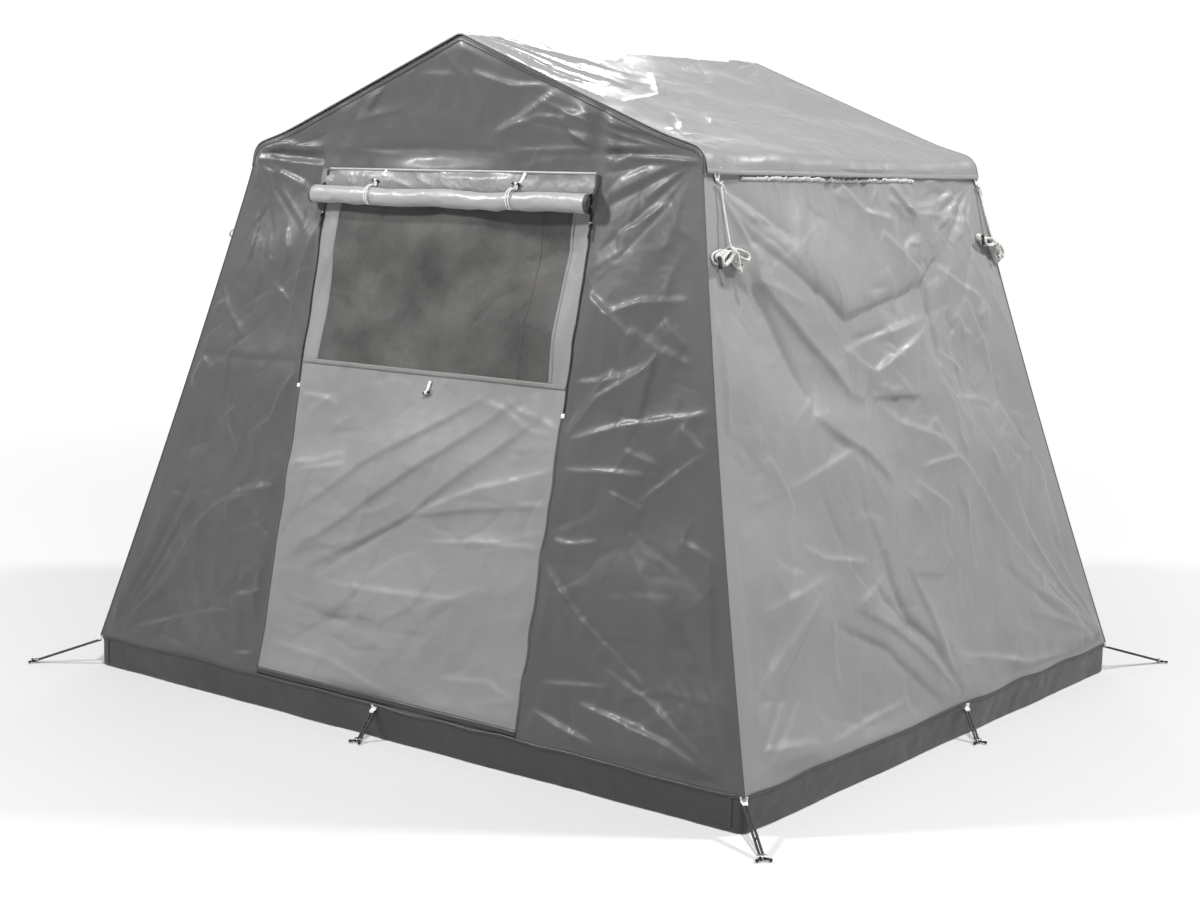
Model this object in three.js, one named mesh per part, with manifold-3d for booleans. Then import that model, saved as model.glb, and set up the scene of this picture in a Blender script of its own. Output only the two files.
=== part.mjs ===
// A small utility tent: coated cloth panels over a telescopic steel pole frame, with its ropes and pegs.
// Millimetres, +Z up. The origin is the centre of the groundsheet's underside, the window is on the -Y side.
import * as THREE from "three";
import { mergeVertices } from "three/addons/utils/BufferGeometryUtils.js";
import Module from "manifold-3d";

const wasm = await Module();
wasm.setup();

// Driving dimensions of the tent's outline.
const BASE_WIDTH = 2500;
const BASE_DEPTH = 2150;
const EAVE_WIDTH = 1690;
const EAVE_DEPTH = 1500;
const EAVE_HEIGHT = 1660;
const RIDGE_HEIGHT = 1985;
const BAND_HEIGHT = 98;
const ROOF_LENGTH = 1504;
const FLAP_HEIGHT = 1616;
const SIDE_WALL_TOP = 1628;
const RIDGE_RADIUS = 40;
const EAVE_RADIUS = 60;
const BAND_CORNER_RADIUS = 25;

// Cloth: its thickness as a solid, the gap at a seam and how far a side wall lies inside the roof's flap.
const CLOTH = 2.4;
const SEAM_GAP = 0.4;
const WALL_INSET = 4;
const BAND_GAP = 0.4;

// The light panel let into each gable wall, and the window in the front one.
const PANEL_HALF_WIDTH = 510;
const PANEL_BOTTOM = 120;
const PANEL_TOP = 1600;
const WINDOW_HALF_WIDTH = 440;
const WINDOW_BOTTOM = 1035;
const WINDOW_TOP = 1535;
const DOOR_GAP = 1;

// The window's cover, rolled up above it.
const COVER_LEFT = -557;
const COVER_RIGHT = 513;
const COVER_ROLL_RADIUS = 27;
const COVER_ROLL_HEIGHT = 1515;
const COVER_GAP = 1;

// Steel poles, radii outside and inside.
const POLE_SIDES = 12;
const POLE_RADIUS = 11;
const POLE_BORE = 10;
const INNER_POLE_RADIUS = 9.5;
const INNER_POLE_BORE = 8.5;
const SOCKET_RADIUS = 14.5;
const SOCKET_BORE = 11.7;
const SOCKET_LENGTH = 48;
const SOCKET_CORE = 16;
const POLE_START = 18;

// Where the poles' axes meet: the eave joint, the ridge joint and the foot, in the corner with x and y positive.
const EAVE_JOINT = new THREE.Vector3(815, 722, 1640);
const RIDGE_JOINT = new THREE.Vector3(0, 722, 1962);
const LEG_FOOT = new THREE.Vector3(1222, 1048, 8);
const UPPER_LEG_LENGTH = 980;
const LEG_OVERLAP = 300;
const COLLAR_RADIUS = 15;
const COLLAR_LENGTH = 40;
const FOOT_RADIUS = 14;
const FOOT_LENGTH = 44;
const FOOT_FLOOR = CLOTH + SEAM_GAP;
const FOOT_SOLE = 16;

// Thumb screw that clamps the telescopic leg.
const SCREW_RADIUS = 3;
const SCREW_BORE = 3.6;
const SCREW_TIP = 12.2;
const BOSS_RADIUS = 7;
const BOSS_END = 24;
const KNOB_RADIUS = 7;
const KNOB_LENGTH = 9;
const WING_LENGTH = 30;
const WING_THICKNESS = 4;

// Zip sliders.
const SLIDER_WIDTH = 9;
const SLIDER_LENGTH = 16;
const SLIDER_THICKNESS = 5;
const PULL_WIDTH = 6;
const PULL_LENGTH = 34;
const PULL_THICKNESS = 2;
const SLIDER_GAP = 1;
const COVER_SLIDER_HEIGHT = 1462;
const DOOR_SLIDER_HEIGHT = 165;

// The webbing tab with a toggle, below the window.
const TAB_X = 12;
const TAB_HEIGHT = 1008;
const TAB_WIDTH = 11;
const TAB_LENGTH = 34;
const TAB_THICKNESS = 2.5;
const TAB_GAP = 0.8;
const TOGGLE_LENGTH = 24;
const TOGGLE_RADIUS = 3.5;

// Peg and rubber ladder.
const LADDER_WIDTH = 18;
const LADDER_STRAND = 5;
const LADDER_THICKNESS = 5;
const LADDER_RUNGS = 3;
const LADDER_TOP = 84;
const LADDER_END = 8;
const LADDER_STANDOFF = 16;
const PEG_HEAD_RADIUS = 12;
const PEG_HEAD_TOP = 14;
const PEG_HEAD_THICKNESS = 3;
const PEG_SHANK_RADIUS = 4;

// Guy rope: a short hanging stretch and its hank, on the side wall near each corner.
const ROPE_DIAMETER = 5;
const ROPE_SIDES = 8;
const ROPE_STEP = 12;
const ROPE_OFF_WALL = 5;
const HANK_LOBE = 78;
const HANK_WIDTH = 34;
const HANK_DEPTH = 22;
const HANK_DROOP = 0.42;
const HANK_WAIST = 11;
const HANK_GAP = 2.5;

// Colours.
const DARK_CLOTH = 0x6b6b69;
const LIGHT_CLOTH = 0xa6a6a4;
const BAND_CLOTH = 0x42413e;
const SILVER_CLOTH = 0xd0d0ce;
const MESH_CLOTH = 0x5c5c58;
const STEEL = 0x9a9c9e;
const BLACK_PLASTIC = 0x1b1b1b;
const WHITE_CORD = 0xe9e7e0;

const halfBase = { x: BASE_WIDTH / 2, y: BASE_DEPTH / 2 };
const halfEave = { x: EAVE_WIDTH / 2, y: EAVE_DEPTH / 2 };
const wallRise = EAVE_HEIGHT - BAND_HEIGHT;
const X_AXIS = new THREE.Vector3(1, 0, 0);
const Y_AXIS = new THREE.Vector3(0, 1, 0);
const Z_AXIS = new THREE.Vector3(0, 0, 1);

const tent = new THREE.Group();

function material(color, roughness, metalness = 0) {
  return new THREE.MeshStandardMaterial({ color, roughness, metalness });
}

const materials = {
  darkCloth: material(DARK_CLOTH, 0.45),
  lightCloth: material(LIGHT_CLOTH, 0.45),
  bandCloth: material(BAND_CLOTH, 0.5),
  silverCloth: material(SILVER_CLOTH, 0.35),
  mesh: material(MESH_CLOTH, 0.9),
  steel: material(STEEL, 0.4, 0.8),
  plastic: material(BLACK_PLASTIC, 0.5),
  cord: material(WHITE_CORD, 0.9),
};

function addMesh(name, geometry, look, parent = tent) {
  const mesh = new THREE.Mesh(geometry, look);
  mesh.name = name;
  parent.add(mesh);
  return mesh;
}

// Booleans: three.js geometry to a solid and back.
function toSolid(geometry) {
  const bare = geometry.clone();
  bare.deleteAttribute("normal");
  bare.deleteAttribute("uv");
  const merged = mergeVertices(bare, 1e-3);
  const mesh = new wasm.Mesh({
    numProp: 3,
    vertProperties: merged.attributes.position.array,
    triVerts: new Uint32Array(merged.index.array),
  });
  return new wasm.Manifold(mesh);
}

function toGeometry(solid) {
  const mesh = solid.getMesh();
  const geometry = new THREE.BufferGeometry();
  geometry.setAttribute("position", new THREE.BufferAttribute(mesh.vertProperties, 3));
  geometry.setIndex(new THREE.BufferAttribute(mesh.triVerts, 1));
  return geometry;
}

// Points and shapes.
function point(x, y) {
  return new THREE.Vector2(x, y);
}

function shapeOf(points) {
  return new THREE.Shape(points);
}

function rectangle(left, right, bottom, top) {
  return [point(left, bottom), point(right, bottom), point(right, top), point(left, top)];
}

// An arc of the given radius that rounds a corner between two straight edges.
function fillet(before, corner, after, radius, steps) {
  const toBefore = before.clone().sub(corner).normalize();
  const toAfter = after.clone().sub(corner).normalize();
  const halfAngle = Math.acos(toBefore.dot(toAfter)) / 2;
  const middle = toBefore.clone().add(toAfter).normalize();
  const centre = corner.clone().addScaledVector(middle, radius / Math.sin(halfAngle));
  const start = corner.clone().addScaledVector(toBefore, radius / Math.tan(halfAngle)).sub(centre);
  const turn = start.cross(corner.clone().sub(centre)) > 0 ? 1 : -1;
  const sweep = (Math.PI - 2 * halfAngle) * turn;
  return Array.from({ length: steps + 1 }, (_, i) => {
    return start.clone().rotateAround(point(0, 0), (sweep * i) / steps).add(centre);
  });
}

// A line of points moved sideways, to its right-hand side, with mitred corners.
function offsetLine(points, distance) {
  return points.map((here, i) => {
    const before = points[Math.max(i - 1, 0)];
    const after = points[Math.min(i + 1, points.length - 1)];
    const inward = i > 0 ? here.clone().sub(before).normalize() : after.clone().sub(here).normalize();
    const outward = i < points.length - 1 ? after.clone().sub(here).normalize() : inward.clone();
    const normalIn = point(inward.y, -inward.x);
    const normalOut = point(outward.y, -outward.x);
    const mitre = normalIn.clone().add(normalOut).normalize();
    return here.clone().addScaledVector(mitre, distance / mitre.dot(normalIn));
  });
}

// A sheet seen edge-on: the line of its outer face, with the cloth's thickness on the line's right.
function sheetShape(outerLine) {
  return shapeOf([...outerLine, ...offsetLine(outerLine, CLOTH).reverse()]);
}

function extrude(shape, depth) {
  return new THREE.ExtrudeGeometry(shape, { depth, bevelEnabled: false });
}

// A shape drawn in YZ or in XZ, extruded through the whole tent along the axis left over.
function extrudeAlongX(shape, length) {
  const geometry = extrude(shape, length).translate(0, 0, -length / 2);
  return geometry.applyMatrix4(new THREE.Matrix4().makeBasis(Y_AXIS, Z_AXIS, X_AXIS));
}

function extrudeAlongY(shape, length) {
  const geometry = extrude(shape, length).translate(0, 0, -length / 2);
  return geometry.applyMatrix4(new THREE.Matrix4().makeBasis(X_AXIS, Z_AXIS, Y_AXIS.clone().negate()));
}

// The distance of the wall's outer face from the tent's middle at a height.
function wallReach(axis, height) {
  const fraction = (height - BAND_HEIGHT) / wallRise;
  return halfBase[axis] + (halfEave[axis] - halfBase[axis]) * fraction;
}

// The roof's outer face from the left flap's edge over the ridge to the right one.
function roofLine() {
  const flap = point(wallReach("x", FLAP_HEIGHT), FLAP_HEIGHT);
  const eave = point(halfEave.x, EAVE_HEIGHT);
  const pitch = (RIDGE_HEIGHT - EAVE_HEIGHT) / halfEave.x;
  const peak = point(0, RIDGE_HEIGHT + RIDGE_RADIUS * (Math.sqrt(1 + pitch * pitch) - 1));
  const mirrored = (p) => point(-p.x, p.y);
  const leftBend = fillet(mirrored(flap), mirrored(eave), peak, EAVE_RADIUS, 6);
  const ridgeBend = fillet(mirrored(eave), peak, eave, RIDGE_RADIUS, 4);
  const rightBend = fillet(peak, eave, flap, EAVE_RADIUS, 6);
  return [mirrored(flap), ...leftBend, ...ridgeBend, ...rightBend, flap];
}

// The gable wall's outer face seen from the side: sloping up to the eave, then upright.
function gableWallProfile() {
  const bottom = point(-wallReach("y", BAND_HEIGHT + BAND_GAP), BAND_HEIGHT + BAND_GAP);
  const bend = point(-halfEave.y, EAVE_HEIGHT);
  const top = point(-halfEave.y, RIDGE_HEIGHT + RIDGE_RADIUS);
  return sheetShape([bottom, bend, top]);
}

function gableSheet(outline, holes = []) {
  const mask = shapeOf(outline);
  mask.holes = holes.map((hole) => new THREE.Path(hole));
  const sheet = toSolid(extrudeAlongX(gableWallProfile(), BASE_WIDTH));
  return sheet.intersect(toSolid(extrudeAlongY(mask, 2 * BASE_DEPTH)));
}

// The gable wall's outline from the front: under the roof, and down to the band.
function gableOutline() {
  const under = offsetLine(roofLine(), CLOTH + SEAM_GAP);
  const bottom = BAND_HEIGHT;
  const foot = wallReach("x", bottom) - WALL_INSET;
  return [point(-foot, bottom), ...under, point(foot, bottom)].reverse();
}

function panelOutline(gap) {
  return rectangle(-PANEL_HALF_WIDTH + gap, PANEL_HALF_WIDTH - gap, PANEL_BOTTOM + gap, PANEL_TOP - gap);
}

function windowOutline(gap) {
  return rectangle(-WINDOW_HALF_WIDTH + gap, WINDOW_HALF_WIDTH - gap, WINDOW_BOTTOM + gap, WINDOW_TOP - gap);
}

// Groundsheet: a floor with an upstand all round, the tent's dark band.
function addGroundsheet() {
  const outline = (inset) => {
    const x = halfBase.x - inset;
    const y = halfBase.y - inset;
    const radius = BAND_CORNER_RADIUS - inset;
    const corners = rectangle(-x, x, -y, y);
    return corners.flatMap((corner, i) => fillet(corners[(i + 3) % 4], corner, corners[(i + 1) % 4], radius, 4));
  };
  const block = toSolid(extrude(shapeOf(outline(0)), BAND_HEIGHT));
  const hollow = toSolid(extrude(shapeOf(outline(CLOTH)), BAND_HEIGHT).translate(0, 0, CLOTH));
  addMesh("groundsheet", toGeometry(block.subtract(hollow)), materials.bandCloth);
}

function addGableWalls() {
  const wall = gableSheet(gableOutline(), [panelOutline(0)]);
  addMesh("front_wall", toGeometry(wall), materials.darkCloth);
  addMesh("rear_wall", toGeometry(wall), materials.darkCloth).rotation.z = Math.PI;
  const panel = gableSheet(panelOutline(SEAM_GAP), [windowOutline(0)]);
  addMesh("window_panel", toGeometry(panel), materials.lightCloth);
  addMesh("window_mesh", toGeometry(gableSheet(windowOutline(SEAM_GAP))), materials.mesh);
  const door = gableSheet(panelOutline(DOOR_GAP));
  addMesh("door_panel", toGeometry(door), materials.lightCloth).rotation.z = Math.PI;
}

function addSideWalls() {
  const bottom = BAND_HEIGHT + BAND_GAP;
  const top = SIDE_WALL_TOP;
  const outer = (height) => point(wallReach("x", height) - WALL_INSET, height);
  const profile = sheetShape([outer(top), outer(bottom)]);
  const edge = (height) => wallReach("y", height) - CLOTH - 2 * SEAM_GAP;
  const outline = [point(-edge(bottom), bottom), point(edge(bottom), bottom), point(edge(top), top), point(-edge(top), top)];
  const sheet = toSolid(extrudeAlongY(profile, BASE_DEPTH));
  const wall = toGeometry(sheet.intersect(toSolid(extrudeAlongX(shapeOf(outline), 2 * BASE_WIDTH))));
  addMesh("right_wall", wall, materials.lightCloth);
  addMesh("left_wall", wall, materials.lightCloth).rotation.z = Math.PI;
}

function addRoof() {
  addMesh("roof", extrudeAlongY(sheetShape(roofLine()), ROOF_LENGTH), materials.lightCloth);
}

// A group that lies on a gable wall's outer face: x across, y up the slope, z out of the wall.
function gableFaceGroup(x, height, front = true) {
  const turner = new THREE.Group();
  turner.rotation.z = front ? 0 : Math.PI;
  const face = new THREE.Group();
  const lean = Math.atan2(halfBase.y - halfEave.y, wallRise);
  face.position.set(x, -wallReach("y", height), height);
  face.rotation.x = Math.PI / 2 - lean;
  turner.add(face);
  tent.add(turner);
  return face;
}

// The window's cover: a flat part hanging from the seam, and the roll below it.
function addWindowCover() {
  const face = gableFaceGroup(0, PANEL_TOP);
  const slope = Math.hypot(wallRise, halfBase.y - halfEave.y) / wallRise;
  const drop = (PANEL_TOP - COVER_ROLL_HEIGHT) * slope;
  const centre = point(COVER_GAP + COVER_ROLL_RADIUS, -drop);
  const join = Math.acos(1 - CLOTH / COVER_ROLL_RADIUS);
  const outline = new THREE.Shape();
  outline.moveTo(COVER_GAP, 0);
  outline.lineTo(COVER_GAP, -drop);
  outline.absarc(centre.x, centre.y, COVER_ROLL_RADIUS, Math.PI, 3 * Math.PI - join, false);
  outline.lineTo(COVER_GAP + CLOTH, 0);
  const geometry = new THREE.ExtrudeGeometry(outline, {
    depth: COVER_RIGHT - COVER_LEFT,
    bevelEnabled: false,
    curveSegments: 20,
  });
  geometry.rotateY(-Math.PI / 2);
  const mesh = addMesh("window_cover", geometry, materials.silverCloth, face);
  mesh.position.x = COVER_RIGHT;
}

// A tube or rod along +Z of its own frame.
function rod(radius, from, to, sides = POLE_SIDES) {
  const geometry = new THREE.CylinderGeometry(radius, radius, to - from, sides);
  return geometry.rotateX(Math.PI / 2).translate(0, 0, (from + to) / 2);
}

function tube(radius, bore, length) {
  const profile = [point(bore, 0), point(radius, 0), point(radius, length), point(bore, length), point(bore, 0)];
  return new THREE.LatheGeometry(profile, POLE_SIDES).rotateX(Math.PI / 2);
}

function turnFromZ(direction) {
  return new THREE.Matrix4().makeRotationFromQuaternion(
    new THREE.Quaternion().setFromUnitVectors(Z_AXIS, direction.clone().normalize()),
  );
}

function corner(base, sideX, sideY) {
  return new THREE.Vector3(base.x * sideX, base.y * sideY, base.z);
}

function poleBetween(name, start, end) {
  const direction = end.clone().sub(start).normalize();
  const length = start.distanceTo(end) - 2 * POLE_START;
  const mesh = addMesh(name, tube(POLE_RADIUS, POLE_BORE, length), materials.steel);
  mesh.quaternion.setFromUnitVectors(Z_AXIS, direction);
  mesh.position.copy(start).addScaledVector(direction, POLE_START);
}

// A cast joint with a socket along each pole that meets in it.
function addPoleJoint(name, centre, neighbours) {
  let body = toSolid(new THREE.SphereGeometry(SOCKET_RADIUS, POLE_SIDES, POLE_SIDES / 2));
  const bores = [];
  for (const neighbour of neighbours) {
    const turn = turnFromZ(neighbour.clone().sub(centre));
    body = body.add(toSolid(rod(SOCKET_RADIUS, 0, SOCKET_LENGTH).applyMatrix4(turn)));
    bores.push(toSolid(rod(SOCKET_BORE, SOCKET_CORE, 2 * SOCKET_LENGTH).applyMatrix4(turn)));
  }
  for (const bore of bores) {
    body = body.subtract(bore);
  }
  addMesh(name, toGeometry(body), materials.plastic).position.copy(centre);
}

function addUpperFrame() {
  const sides = [["right", 1], ["left", -1]];
  const ends = [["front", -1], ["rear", 1]];
  for (const [end, y] of ends) {
    const ridge = corner(RIDGE_JOINT, 1, y);
    const eaves = sides.map(([, x]) => corner(EAVE_JOINT, x, y));
    addPoleJoint("ridge_joint_" + end, ridge, [...eaves, corner(RIDGE_JOINT, 1, -y)]);
    for (const [side, x] of sides) {
      const eave = corner(EAVE_JOINT, x, y);
      poleBetween("rafter_" + end + "_" + side, eave, ridge);
      const neighbours = [ridge, corner(EAVE_JOINT, x, -y), corner(LEG_FOOT, x, y)];
      addPoleJoint("eave_joint_" + end + "_" + side, eave, neighbours);
    }
  }
  poleBetween("ridge_pole", corner(RIDGE_JOINT, 1, -1), RIDGE_JOINT);
  for (const [side, x] of sides) {
    poleBetween("eave_pole_" + side, corner(EAVE_JOINT, x, -1), corner(EAVE_JOINT, x, 1));
  }
}

// The upper leg with its clamp collar: a tube along +Z, the boss for the thumb screw on +X.
function upperLegSolid() {
  const collarStart = UPPER_LEG_LENGTH - COLLAR_LENGTH;
  const screwHeight = UPPER_LEG_LENGTH - COLLAR_LENGTH / 2;
  const boss = rod(BOSS_RADIUS, 0, BOSS_END).rotateY(Math.PI / 2).translate(0, 0, screwHeight);
  const screwHole = rod(SCREW_BORE, POLE_RADIUS, BOSS_END + 1).rotateY(Math.PI / 2).translate(0, 0, screwHeight);
  return toSolid(rod(POLE_RADIUS, POLE_START, UPPER_LEG_LENGTH))
    .add(toSolid(rod(COLLAR_RADIUS, collarStart, UPPER_LEG_LENGTH)))
    .add(toSolid(boss))
    .subtract(toSolid(rod(POLE_BORE, 0, UPPER_LEG_LENGTH + 1)))
    .subtract(toSolid(screwHole));
}

// The thumb screw: a shank in the boss, a round hub and two wings, all along +X.
function thumbScrewSolid() {
  const hubEnd = BOSS_END + 1 + KNOB_LENGTH;
  const shank = rod(SCREW_RADIUS, SCREW_TIP, hubEnd, 10);
  const hub = rod(KNOB_RADIUS, BOSS_END + 1, hubEnd, 10);
  const wings = new THREE.BoxGeometry(WING_THICKNESS, WING_LENGTH, KNOB_LENGTH);
  wings.translate(0, 0, BOSS_END + 1 + KNOB_LENGTH / 2);
  return toSolid(shank.rotateY(Math.PI / 2))
    .add(toSolid(hub.rotateY(Math.PI / 2)))
    .add(toSolid(wings.rotateY(Math.PI / 2)));
}

// The leg's cap: a cup on the lower leg's end, cut flat where it stands on the groundsheet.
function footSolid(turn) {
  const start = -FOOT_SOLE;
  const cup = rod(FOOT_RADIUS, start, FOOT_LENGTH - FOOT_SOLE).applyMatrix4(turn);
  const bore = rod(INNER_POLE_RADIUS + 0.6, 0, FOOT_LENGTH).applyMatrix4(turn);
  const below = new THREE.BoxGeometry(100, 100, 100).translate(0, 0, FOOT_FLOOR - LEG_FOOT.z - 50);
  return toSolid(cup).subtract(toSolid(bore)).subtract(toSolid(below));
}

function addLegs() {
  const length = EAVE_JOINT.distanceTo(LEG_FOOT);
  const lowerStart = UPPER_LEG_LENGTH - LEG_OVERLAP;
  const lowerLength = length - lowerStart - FOOT_SOLE / 2;
  for (const [end, y] of [["front", -1], ["rear", 1]]) {
    for (const [side, x] of [["right", 1], ["left", -1]]) {
      const name = end + "_" + side;
      const top = corner(EAVE_JOINT, x, y);
      const foot = corner(LEG_FOOT, x, y);
      const down = foot.clone().sub(top).normalize();
      // The screw points along the leg frame's +X: inwards, level with the side wall.
      const across = new THREE.Vector3(-x, 0, 0).addScaledVector(down, x * down.x).normalize();
      const frame = new THREE.Group();
      const basis = new THREE.Matrix4().makeBasis(across, down.clone().cross(across), down);
      frame.quaternion.setFromRotationMatrix(basis);
      frame.position.copy(top);
      tent.add(frame);
      addMesh("upper_leg_" + name, toGeometry(upperLegSolid()), materials.steel, frame);
      const lower = tube(INNER_POLE_RADIUS, INNER_POLE_BORE, lowerLength).translate(0, 0, lowerStart);
      addMesh("lower_leg_" + name, lower, materials.steel, frame);
      const screw = addMesh("thumb_screw_" + name, toGeometry(thumbScrewSolid()), materials.plastic, frame);
      screw.position.z = UPPER_LEG_LENGTH - COLLAR_LENGTH / 2;
      const cup = footSolid(turnFromZ(down.clone().negate()));
      addMesh("foot_" + name, toGeometry(cup), materials.plastic).position.copy(foot);
    }
  }
}

// A zip slider with its pull hanging from it, in a wall face's frame.
function sliderSolid() {
  const body = new THREE.BoxGeometry(SLIDER_WIDTH, SLIDER_LENGTH, SLIDER_THICKNESS);
  body.translate(0, 0, SLIDER_GAP + SLIDER_THICKNESS / 2);
  const pull = new THREE.BoxGeometry(PULL_WIDTH, PULL_LENGTH, PULL_THICKNESS);
  pull.translate(0, -PULL_LENGTH / 2, SLIDER_GAP + SLIDER_THICKNESS - PULL_THICKNESS / 2);
  return toSolid(body).add(toSolid(pull));
}

function addSliders() {
  const geometry = toGeometry(sliderSolid());
  const offset = PANEL_HALF_WIDTH + SLIDER_WIDTH / 2 + 1;
  for (const [side, x] of [["right", 1], ["left", -1]]) {
    const coverFace = gableFaceGroup(x * offset, COVER_SLIDER_HEIGHT);
    addMesh("cover_slider_" + side, geometry, materials.plastic, coverFace);
    const doorFace = gableFaceGroup(-x * offset, DOOR_SLIDER_HEIGHT, false);
    addMesh("door_slider_" + side, geometry, materials.plastic, doorFace);
  }
}

// The tab that hangs below the window: a strip of webbing with a toggle across its end.
function addWindowTab() {
  const face = gableFaceGroup(TAB_X, TAB_HEIGHT);
  const strip = new THREE.BoxGeometry(TAB_WIDTH, TAB_LENGTH, TAB_THICKNESS);
  strip.translate(0, -TAB_LENGTH / 2, TAB_GAP + TAB_THICKNESS / 2);
  const toggle = rod(TOGGLE_RADIUS, -TOGGLE_LENGTH / 2, TOGGLE_LENGTH / 2, 10).rotateY(Math.PI / 2);
  toggle.translate(0, -TAB_LENGTH, TAB_GAP + TOGGLE_RADIUS);
  const solid = toSolid(strip).add(toSolid(toggle));
  addMesh("window_tab", toGeometry(solid), materials.cord, face);
}

// The rubber ladder's outline: two long strands joined by rungs, along +Y from the origin.
function ladderShape(length) {
  const half = LADDER_WIDTH / 2;
  const shape = shapeOf(rectangle(-half, half, 0, length));
  const gap = (length - LADDER_STRAND) / LADDER_RUNGS;
  for (let i = 0; i < LADDER_RUNGS; i += 1) {
    const bottom = LADDER_STRAND + i * gap;
    const hole = rectangle(-half + LADDER_STRAND, half - LADDER_STRAND, bottom, bottom + gap - LADDER_STRAND);
    shape.holes.push(new THREE.Path(hole));
  }
  return shape;
}

// A peg driven down to its head, with its ladder running up to the tab on the band.
function addPegSet(name, tab, peg) {
  const start = new THREE.Vector3(tab.x, tab.y, LADDER_TOP);
  const end = new THREE.Vector3(peg.x, peg.y, LADDER_END);
  const run = start.clone().sub(end);
  const length = run.length() - LADDER_STANDOFF;
  const along = run.clone().normalize();
  const across = new THREE.Vector3().crossVectors(along, Z_AXIS).normalize();
  const basis = new THREE.Matrix4().makeBasis(across, along, across.clone().cross(along));
  const ladder = extrude(ladderShape(length), LADDER_THICKNESS).translate(0, 0, -LADDER_THICKNESS / 2);
  ladder.applyMatrix4(basis).translate(end.x, end.y, end.z);
  const head = rod(PEG_HEAD_RADIUS, PEG_HEAD_TOP - PEG_HEAD_THICKNESS, PEG_HEAD_TOP);
  const shank = rod(PEG_SHANK_RADIUS, 0, PEG_HEAD_TOP - 1);
  const driven = toSolid(head).add(toSolid(shank)).translate([peg.x, peg.y, 0]);
  addMesh("peg_set_" + name, toGeometry(toSolid(ladder).add(driven)), materials.plastic);
}

// Each tab sits on the band, and its peg is driven a little way out from it.
const cornerX = halfBase.x - BAND_CORNER_RADIUS / 3;
const cornerY = halfBase.y - BAND_CORNER_RADIUS / 3;
const pegSets = [
  ["front_right", point(cornerX, -cornerY), point(1376, -1186)],
  ["front_left", point(-cornerX, -cornerY), point(-1415, -1200)],
  ["rear_right", point(cornerX, cornerY), point(1345, 1300)],
  ["rear_left", point(-cornerX, cornerY), point(-1380, 1240)],
  ["front_middle", point(-13, -halfBase.y), point(-10, -1140)],
  ["rear_middle", point(0, halfBase.y), point(0, 1140)],
  ["right_middle", point(halfBase.x, 80), point(1316, 32)],
  ["left_middle", point(-halfBase.x, 0), point(-1316, 0)],
];

// A frame on a side wall's outer face: x along the wall, y up the slope, z out of the wall.
function sideFaceGroup(side, y, height) {
  const turner = new THREE.Group();
  turner.rotation.z = side > 0 ? 0 : Math.PI;
  const face = new THREE.Group();
  const lean = Math.atan2(halfBase.x - halfEave.x, wallRise);
  const along = Y_AXIS.clone();
  const outward = new THREE.Vector3(Math.cos(lean), 0, Math.sin(lean));
  const up = outward.clone().cross(along);
  face.quaternion.setFromRotationMatrix(new THREE.Matrix4().makeBasis(along, up, outward));
  face.position.set(wallReach("x", height), y * side, height);
  turner.add(face);
  tent.add(turner);
  return face;
}

// The hank seen flat: two drooping lobes joined at a tied waist.
function hankShape() {
  const tip = point(HANK_LOBE, -HANK_LOBE * HANK_DROOP);
  const along = tip.clone().normalize();
  const side = point(-along.y, along.x).multiplyScalar(HANK_WIDTH / 2);
  const end = tip.clone().addScaledVector(along, -HANK_WIDTH / 2);
  const start = along.clone().multiplyScalar(HANK_WIDTH * 0.9);
  const angle = Math.atan2(side.y, side.x);
  const right = [point(0, HANK_WAIST), start.clone().add(side)];
  for (let i = 0; i <= 6; i += 1) {
    const turned = angle - (Math.PI * i) / 6;
    right.push(point(Math.cos(turned), Math.sin(turned)).multiplyScalar(HANK_WIDTH / 2).add(end));
  }
  right.push(start.clone().sub(side), point(0, -HANK_WAIST));
  const left = right.slice(1, -1).reverse().map((p) => point(-p.x, p.y));
  return shapeOf([...right, ...left].reverse());
}

// Guy ropes: the point where each leaves its loop, the tied hank's place and how far it is turned.
const ROPE_EXIT_HEIGHT = 1582;
const HANK_HEIGHT = 1405;
const guyRopes = [
  { name: "front_right", side: 1, y: -700, hankY: -715, turn: 0 },
  { name: "rear_right", side: 1, y: 752, hankY: 770, turn: -0.5 },
  { name: "front_left", side: -1, y: -700, hankY: -715, turn: 0 },
  { name: "rear_left", side: -1, y: 752, hankY: 770, turn: -0.5 },
];

function addGuyRope({ name, side, y, hankY, turn }) {
  const face = sideFaceGroup(side, hankY, HANK_HEIGHT);
  const slope = Math.hypot(wallRise, halfBase.x - halfEave.x) / wallRise;
  const exit = new THREE.Vector3((y - hankY) * side, (ROPE_EXIT_HEIGHT - HANK_HEIGHT) * slope, ROPE_OFF_WALL);
  const hankTop = new THREE.Vector3(0, HANK_WAIST + HANK_GAP, HANK_DEPTH / 2);
  const route = new THREE.CatmullRomCurve3([
    exit,
    exit.clone().lerp(hankTop, 0.35).setZ(ROPE_OFF_WALL),
    exit.clone().lerp(hankTop, 0.75).setZ(ROPE_OFF_WALL + 2),
    hankTop,
  ]);
  const ring = Array.from({ length: ROPE_SIDES }, (_, i) => {
    const angle = (2 * Math.PI * i) / ROPE_SIDES;
    return point(Math.cos(angle), Math.sin(angle)).multiplyScalar(ROPE_DIAMETER / 2);
  });
  const steps = Math.round(route.getLength() / ROPE_STEP);
  const rope = new THREE.ExtrudeGeometry(shapeOf(ring), { steps, extrudePath: route, bevelEnabled: false });
  addMesh("guy_rope_" + name, rope, materials.cord, face);
  const hank = extrude(hankShape(), HANK_DEPTH).translate(0, 0, 2);
  hank.rotateZ(turn * side);
  addMesh("guy_hank_" + name, hank, materials.cord, face);
}

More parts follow.
